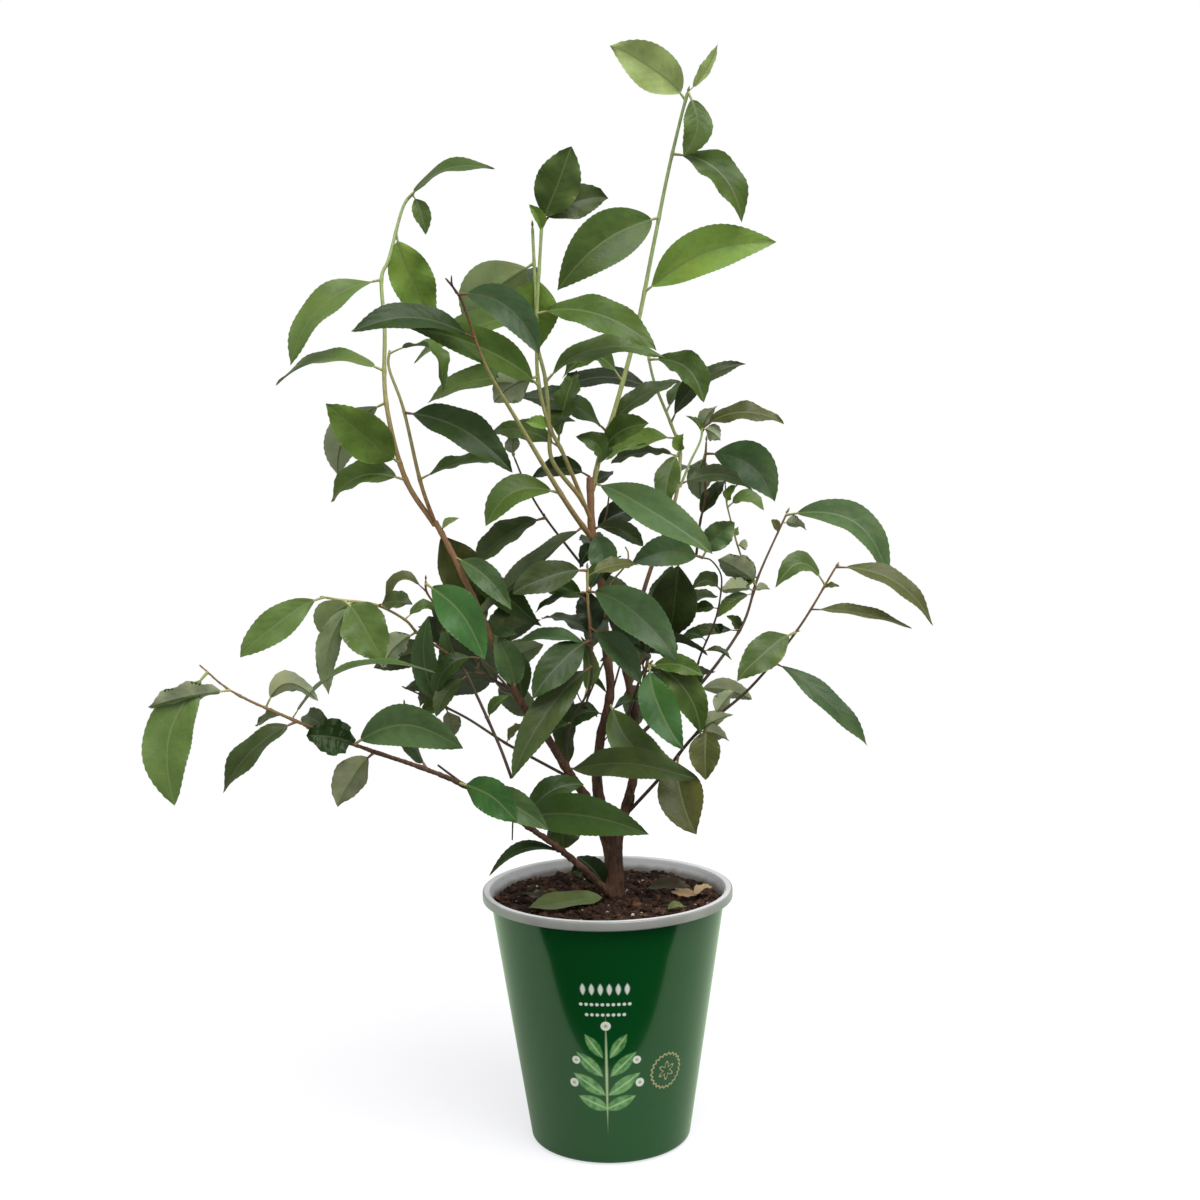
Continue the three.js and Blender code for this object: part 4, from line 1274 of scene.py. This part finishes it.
# bare twigs and dead stubs: path, radius and age
bareTwigs = {
    "spur": ([(12.5, 6, 172), (14, 3, 176), (14.5, 1, 180)], (0.9, 0.5), 0.1),
    "topSnag": ([(1, -4, 322), (2.8, -4, 328), (4.5, -4, 340)], (0.55, 0.35), 0.25),
    "crossLeft": ([(-9, -6, 230), (-8, -8, 234), (1.6, -10, 255)], (0.6, 0.4), 0.12),
    "crossRight": ([(3, -2, 230), (4, 0, 234), (8.8, -2, 251), (10, 4, 262)], (0.6, 0.4), 0.12),
    "lowSnag": ([(-45, -48, 187), (-45.6, -52, 182), (-46, -56, 171)], (0.5, 0.35), 0.1),
    "lowStub": ([(-70, -54, 199), (-73, -54, 201.5), (-81, -58, 209)], (0.7, 0.5), 0.1),
    "leftSnag": ([(-80, -34, 234), (-90, -28, 238), (-100, -34, 244)], (0.5, 0.35), 0.15),
    "sprig": ([(2, -4, 288), (3.7, -6, 291), (12, -12, 301), (13, -14, 307),
               (11.5, -14, 310)], (0.6, 0.35), 0.55),
    "sideThread": ([(46, 24, 226), (47, 20, 238), (50, 16, 247)], (0.45, 0.3), 0.12),
    "midThread": ([(-1, -3, 252), (5, -8, 257), (13, -12, 258)], (0.4, 0.3), 0.15),
    "midThreadLow": ([(-3, -1, 206), (3, -6, 214), (12, -10, 222)], (0.4, 0.3), 0.12),
    "heartThread": ([(-4, -2, 222), (-12, -8, 231), (-16, -10, 243)], (0.4, 0.3), 0.12),
    "forkSpur": ([(-83, -28, 326), (-84.6, -30, 329), (-85, -32, 334)], (0.9, 0.5), 0.35),
}


growth = {
    "turn": 137.5,  # degrees from one leaf to the next, round the shoot
    "insertion": (48, 72), "droop": 0.22, "roll": 22, "seed": 41, "bow": (0.08, 0.07), "nearer": 0.05,
    "stray": 14, "sideStray": 62, "stepStray": 0.2,  # how far the rule strays from even steps
    "slimness": (0.32, 0.42), "ruledBow": (0.04, 0.13), "droopStray": (0.4, 1.6),  # as shares of the length
    "knot": 0.16, "knotReach": 1.8, "endTaper": 0.6,
    "sideBudChance": 0.3, "sideBud": 0.35, "tipBud": 0.75,
}

# what the seeded rule grows: how many leaves, from where to where on the shoot, how long and which kinds;
# side is towards where round the shoot, 180 being away from the front
def rule(count, start, end, length, kinds, **side):
    return {"count": count, "from": start, "to": end, "length": length, "kinds": kinds, **side}


behind = rule(3, 0.35, 0.85, (32, 48), ["dark", "deep", "mid"], side=180)
crown = rule(12, 0.25, 1, (36, 54), ["dark", "blue", "mid"])
rules = {
    "twinA": behind, "top": behind, "front": behind,
    "middle": rule(4, 0.35, 0.95, (30, 44), ["shade", "dark"], side=180),
    "left": rule(4, 0.3, 0.95, (30, 44), ["dark", "deep"], side=180),
    "low": rule(5, 0.25, 0.85, (28, 42), ["dark", "deep"], side=180),
    "leftBack": rule(7, 0.3, 1, (32, 46), ["dark", "blue"]),
    "back": crown, "backLeft": crown,
    "rightHeart": rule(7, 0.3, 1, (30, 44), ["dark", "blue"]),
}
shoots |= {  # the shoots at the back, which take all their leaves by rule
    "leftBack": {"path": [(-46, -26, 240), (-58, -20, 246), (-78, -10, 258),
                          (-86, 2, 264)], "radius": (0.9, 0.6), "age": (0.1, 0.3)},
    "back": {"path": [(15, 11, 215), (20, 34, 230), (25, 62, 247), (26, 80, 260),
                      (27, 98, 274)], "radius": (1.1, 0.6),
             "age": (0.1, 0.4)},
    "backLeft": {"path": [(-44, -24, 238), (-52, 2, 236), (-60, 30, 241), (-62, 50, 248),
                          (-66, 72, 258)], "radius": (1.1, 0.6),
                 "age": (0.1, 0.4)},
    "rightHeart": {"path": [(12.5, 12, 234), (20, 20, 248),
                            (27, 27, 260)], "radius": (0.9, 0.6), "age": (0.1, 0.3)},
}

# parts of the picture plane, y = 0, that stay open: lowest and highest x and z in mm
openSky = [
    (-75, 470, -36, 560), (-25, 420, 10, 520), (45, 400, 100, 560), (-78, 330, -58, 400),
    (-160, 400, -130, 560), (10, 300, 24, 420), (-175, 300, -130, 345), (100, 345, 160, 400),
    (-130, 130, -45, 190), (-70, 185, -44, 232), (60, 130, 160, 215), (25, 130, 60, 185),
    (-80, 425, -55, 470),
]


def onPlane(point):
    # where the camera sees a point against the plane y = 0
    x, y, z = (v / mm for v in view["place"])
    scale = -y / (point[1] - y)
    return x + (point[0] - x) * scale, z + (point[2] - z) * scale


def inOpenSky(leaf):
    for share in (0.35, 0.65, 1):
        x, z = onPlane(leaf.midline(share)[0])
        if any(left < x < right and low < z < high for left, low, right, high in openSky):
            return True
    return False


def posedLeaf(path, pose):
    # the angle turns in the plane that faces the front, the lean comes out of it, the roll turns the blade
    share, angle, length, width, lean, roll, kind, *bow = pose
    a, l, r = (math.radians(value) for value in (angle, lean, roll))
    heading = np.array([math.cos(l) * math.cos(a), -math.sin(l), math.cos(l) * math.sin(a)])
    facing = across(np.array([0, -1.0, 0]), heading)
    rise = np.cross(facing, heading)
    if rise[2] < 0:
        rise = -rise
    up = math.cos(r) * facing + math.sin(r) * rise
    least, more = growth["bow"]
    height = bow[0] if bow else length * (least + more * math.sin(r) ** 2)
    return Leaf(pointAt(path, share), heading, up, length, width, kind,
                rise * height + facing * length * growth["nearer"])


def ruledLeaf(path, share, azimuth, length, kind, rng):
    # a leaf set round a shoot by angle; its upper side faces the shoot's tip
    axis = headingAt(path, share)
    first = across(np.array([0, -1.0, 0.05]), axis)
    second = np.cross(axis, first)
    out = math.cos(azimuth) * first + math.sin(azimuth) * second
    opening = math.radians(rng.uniform(*growth["insertion"]))
    heading = math.cos(opening) * axis + math.sin(opening) * out
    heading[2] -= growth["droop"] * rng.uniform(*growth["droopStray"])
    heading = unit(heading)
    up = across(axis, heading)
    roll = math.radians(rng.uniform(-1, 1) * growth["roll"])
    up = math.cos(roll) * up + math.sin(roll) * np.cross(heading, up)
    width = length * rng.uniform(*growth["slimness"])
    bow = up * length * rng.uniform(*growth["ruledBow"])
    return Leaf(pointAt(path, share), heading, up, length, width, kind, bow)


def growRound(path, growing, rng):
    # a spiral of leaves up a shoot, kept out of the open sky
    leaves = []
    azimuth = rng.uniform(0, math.tau)
    for k in range(growing["count"]):
        step = (k + rng.uniform(-growth["stepStray"], growth["stepStray"])) / max(1, growing["count"] - 1)
        share = min(1, max(0.02, growing["from"] + (growing["to"] - growing["from"]) * step))
        azimuth += math.radians(growth["turn"] + rng.uniform(-growth["stray"], growth["stray"]))
        if "side" in growing:
            azimuth = math.radians(growing["side"] + rng.uniform(-growth["sideStray"], growth["sideStray"]))
        length = rng.uniform(*growing["length"]) * (1.08 - 0.35 * share**3)
        kind = rng.choice(growing["kinds"])
        leaf = ruledLeaf(path, share, azimuth, length, kind, rng)
        if not inOpenSky(leaf):
            leaves.append(leaf)
    return leaves


stalk = {  # a leaf stalk, which runs on under the blade; radius, sink and fullWidth in mm
    "reach": 1.35, "sink": 0.25, "radius": 0.75, "least": 0.4, "fullWidth": 17,
    "girth": [1.15, 1, 0.9, 0.85, 0.75, 0.35],
}


def petiole(leaf):
    count = len(stalk["girth"])
    shares = np.linspace(0, leaf.start * stalk["reach"], count)
    chain = leaf.midline(shares) - leaf.up * np.linspace(0, stalk["sink"], count)[:, None]
    stout = stalk["radius"] * min(1, max(stalk["least"], leaf.width / stalk["fullWidth"]))
    girth = np.array(stalk["girth"]) * stout
    return chain, girth


def spread(values, count):
    # a few values spread evenly along a run of points
    return np.interp(np.linspace(0, len(values) - 1, count), range(len(values)), values)


# how new a leaf's stalk looks, on the scale of a shoot's age
petioleAge = {
    "young": 1.0, "bright": 0.9, "green": 0.75, "mid": 0.7,
    "pale": 0.8, "grey": 0.65, "cool": 0.65, "lush": 0.65,
}


def makePlant():
    rng = random.Random(growth["seed"])
    chains, girths, ages = [], [], []
    leaves, buds = [], []
    for name, shoot in shoots.items():
        poses = shoot.get("leaves", [])
        path = limbPath(shoot["limb"]) if "limb" in shoot else smoothPath(shoot["path"])
        leaves += [posedLeaf(path, pose) for pose in poses]
        if name in rules:
            leaves += growRound(path, rules[name], rng)
        if "limb" in shoot:
            continue
        at = np.linspace(0, 1, len(path))
        girth = spread(shoot["radius"], len(path))
        for pose in poses:
            beside = (at - pose[0]) * len(path) * shootSpacing
            girth = girth * (1 + growth["knot"] * np.exp(-(beside / growth["knotReach"]) ** 2))
            if rng.random() < growth["sideBudChance"]:
                axis = headingAt(path, min(pose[0], 0.99))
                aim = unit(axis + across(np.array([rng.uniform(-1, 1), rng.uniform(-1, 1), 0.2]), axis) * 0.7)
                buds.append((pointAt(path, pose[0]) + aim, aim, growth["sideBud"]))
        girth[-1] *= growth["endTaper"]
        chains.append(path)
        girths.append(girth)
        ages.append(spread(shoot["age"], len(path)))
        size = shoot.get("bud", growth["tipBud"])
        if size:
            buds.append((path[-1], headingAt(path, 1), size))
    for points, radius, age in bareTwigs.values():
        path = smoothPath(points)
        chains.append(path)
        girths.append(spread(radius, len(path)))
        ages.append(np.full(len(path), age))
    for leaf in leaves:
        chain, girth = petiole(leaf)
        chains.append(chain)
        girths.append(girth)
        ages.append(np.full(len(chain), petioleAge.get(leaf.kind, 0.3)))
    makeShoots(chains, girths, ages)
    makeBuds(buds)
    makeLeaves(leaves, rng)


def shootMaterial():
    s = Shader("shoot bark", IOR=1.45)
    age = s.attribute("age")
    stretched = s.node("ShaderNodeMapping", inputs={"Vector": s.place(), "Scale": (1, 1, 0.25)})
    streak = s.noise(1300, 3, 0.6, stretched)
    patch = s.noise(120, 2)
    stops = [(0, srgb(62, 50, 44)), (0.2, srgb(98, 80, 62)), (0.42, srgb(166, 122, 80)),
             (0.6, srgb(184, 174, 114)), (0.8, srgb(176, 190, 118)), (1, srgb(184, 208, 142))]
    at = age + (patch - 0.5) * 0.1
    colour = s.node("ShaderNodeValToRGB", {"stops": stops}, {"Fac": at})
    shade = s.mix((0.72, 0.7, 0.68), (1.12, 1.12, 1.1), streak.step(0.3, 0.7))
    colour = s.mix(colour, shade, 0.8, "MULTIPLY")
    return s.finish(colour, 0.62 - 0.14 * age, streak, 0.15 * mm, 0.7)


def makeShoots(chains, girths, ages):
    girths = [girth * mm for girth in girths]
    piece = wireMesh("shoots", chains, girth=girths, age=ages)
    flow = Flow("tubes", sides=9, material=shootMaterial())
    line = flow.node("GeometryNodeMeshToCurve", {"Mesh": flow.given()})
    ring = flow.node("GeometryNodeCurvePrimitiveCircle", {"Resolution": flow.given("sides"), "Radius": 1.0})
    tube = {"Curve": line, "Profile Curve": ring, "Scale": flow.named("girth"), "Fill Caps": True}
    flow.run(flow.node("GeometryNodeCurveToMesh", tube), piece)
    piece.data.shade_smooth()
    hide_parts(*nodesOf({"green_bark"}))
    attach(piece, "root")
    print("shoots made:", len(chains), "chains,", len(piece.data.polygons), "faces")


def budMaterial():
    s = Shader("bud")
    grain = s.noise(900, 2)
    size = s.attribute("size")
    green = s.mix(srgb(112, 124, 66), srgb(150, 164, 100), grain)
    return s.finish(s.mix(srgb(104, 72, 50), green, size.step(0.5, 0.8)), 0.5, grain, 0.1 * mm)


def makeBuds(buds):
    mesh = bpy.data.meshes.new("buds")
    mesh.from_pydata([tuple(place * mm) for place, aim, size in buds], [], [])
    aims = mesh.attributes.new("aim", "FLOAT_VECTOR", "POINT")
    aims.data.foreach_set("vector", np.concatenate([aim for place, aim, size in buds]))
    sizes = mesh.attributes.new("size", "FLOAT", "POINT")
    sizes.data.foreach_set("value", [float(size) for place, aim, size in buds])
    piece = addObject("buds", mesh)
    flow = Flow("buds", length=4.5 * mm, width=1.7 * mm, sides=8, material=budMaterial())
    # a pointed scale bud: a line whose circles swell and close
    line = flow.node("GeometryNodeCurvePrimitiveLine", {"End": (0.0, 0.0, 1.0)})
    line = flow.node("GeometryNodeResampleCurve", {"Curve": line, "Count": 9})
    along = flow.node("GeometryNodeSplineParameter", {})
    profile = flow.node("ShaderNodeFloatCurve", {"Value": along})
    curve = profile.node.mapping.curves[0]
    for point in [(0.12, 0.8), (0.3, 1), (0.6, 0.72), (0.85, 0.26)]:
        curve.points.new(*point)
    curve.points[0].location = (0, 0.45)
    curve.points[-1].location = (1, 0.02)
    profile.node.mapping.update()
    ring = flow.node("GeometryNodeCurvePrimitiveCircle", {"Resolution": flow.given("sides"), "Radius": 0.5})
    tube = {"Curve": line, "Profile Curve": ring, "Scale": profile, "Fill Caps": True}
    shape = flow.node("GeometryNodeCurveToMesh", tube)
    stretch = flow.node("ShaderNodeCombineXYZ", {"X": flow.given("width"), "Y": flow.given("width"),
                                                 "Z": flow.given("length")})
    sized = {0: stretch, "Scale": flow.named("size")}
    scale = flow.node("ShaderNodeVectorMath", sized, {"operation": "SCALE"})
    turn = flow.node("FunctionNodeAlignRotationToVector", {"Vector": flow.named("aim", "FLOAT_VECTOR")},
                     {"axis": "Z"})
    copies = {"Points": flow.given(), "Instance": shape, "Rotation": turn, "Scale": scale}
    flow.run(flow.node("GeometryNodeInstanceOnPoints", copies), piece)
    piece.data.shade_smooth()
    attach(piece, "root")
    print("buds made:", len(buds))


def makeLeaves(leaves, rng):
    materials = {}
    for kind, (home, tint, back) in leafKinds.items():
        rib = [0.45 * c + 0.55 * d for c, d in zip(tint, (0.20, 0.27, 0.08))]
        materials[kind] = [
            leafMaterial(kind + " leaf", tint, False),
            leafMaterial(kind + " underside", back, True),
            ribMaterial(kind + " midrib", [c * 0.55 for c in rib] if home == "leavesDark" else rib),
        ]
    for home, slot in leafPieces.items():
        kinds = [kind for kind in leafKinds if leafKinds[kind][0] == home]
        build = Build()
        for leaf in leaves:
            if leaf.kind in kinds:
                first = 3 * kinds.index(leaf.kind)
                bladeShape(leaf, rng, build, (first, first + 1, first + 2))
        piece = build.piece(home, [m for kind in kinds for m in materials[kind]], sharp=75)
        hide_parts(*nodesOf({slot}))
        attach(piece, "root")
        print(home, "made:", len(piece.data.polygons), "faces")


litter = {  # foot, direction, upper side, length, width, arch and kind
    "olive": ((1, -11, 129.5), (-1, -0.42, -0.01), (0.05, -0.35, 0.94), 45, 16, 1, "olive"),
    "tan": ((31, 3, 129), (0.75, -0.66, 0.02), (-0.1, -0.5, 0.86), 20, 6, -1, "tan"),
    "hook": ((44, -11, 129), (0.62, 0.76, 0.1), (-0.4, -0.4, 0.8), 16, 8, 1, "tan"),
    "curl": ((18, 5, 128.5), (0.95, -0.1, 0.08), (0, -0.4, 0.9), 26, 9, 2, "brown"),
    "shard": ((29, -27, 127), (0.9, -0.1, 0.12), (0.1, -0.5, 0.86), 11, 6, 1, "olive"),
    "leftDark": ((-26, -12, 127), (-0.9, 0.2, 0.1), (0.1, -0.3, 0.9), 22, 8, 2, "brown"),
    "greenBit": ((-40, -4, 127), (0.7, 0.6, 0.15), (0.1, -0.4, 0.9), 12, 6, 1, "olive"),
    "shred": ((38, 20, 127), (-0.8, -0.5, 0.2), (0.1, -0.4, 0.9), 14, 5, 1, "brown"),
}


litterSeed = 7
litterTints = {  # upper face, underside
    "olive": ((0.11, 0.15, 0.045), (0.13, 0.16, 0.07)),
    "tan": (srgb(164, 142, 108)[:3], srgb(150, 130, 98)[:3]),
    "brown": (srgb(56, 50, 34)[:3], srgb(66, 58, 42)[:3]),
}


def makeLitter():
    rng = random.Random(litterSeed)
    materials = []
    for kind, (tint, back) in litterTints.items():
        materials += [
            leafMaterial("fallen " + kind, tint, False),
            leafMaterial("fallen " + kind + " underside", back, True),
            ribMaterial("fallen " + kind + " midrib", [min(1, c * 1.3) for c in tint]),
        ]
    build = Build()
    for foot, heading, up, length, width, arch, kind in litter.values():
        first = 3 * list(litterTints).index(kind)
        heading = unit(np.array(heading, float))
        up = across(np.array(up, float), heading)
        leaf = Leaf(np.array(foot, float), heading, up, length, width, kind, up * arch)
        bladeShape(leaf, rng, build, (first, first + 1, first + 2))
    piece = build.piece("fallenLeaves", materials, sharp=75)
    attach(piece, "root")
    print("fallen leaves made:", len(litter))


makeStage()
makePot()
bed = makeCompost()
makeCrumbs(bed)
makeLitter()
makeWood()
makePlant()
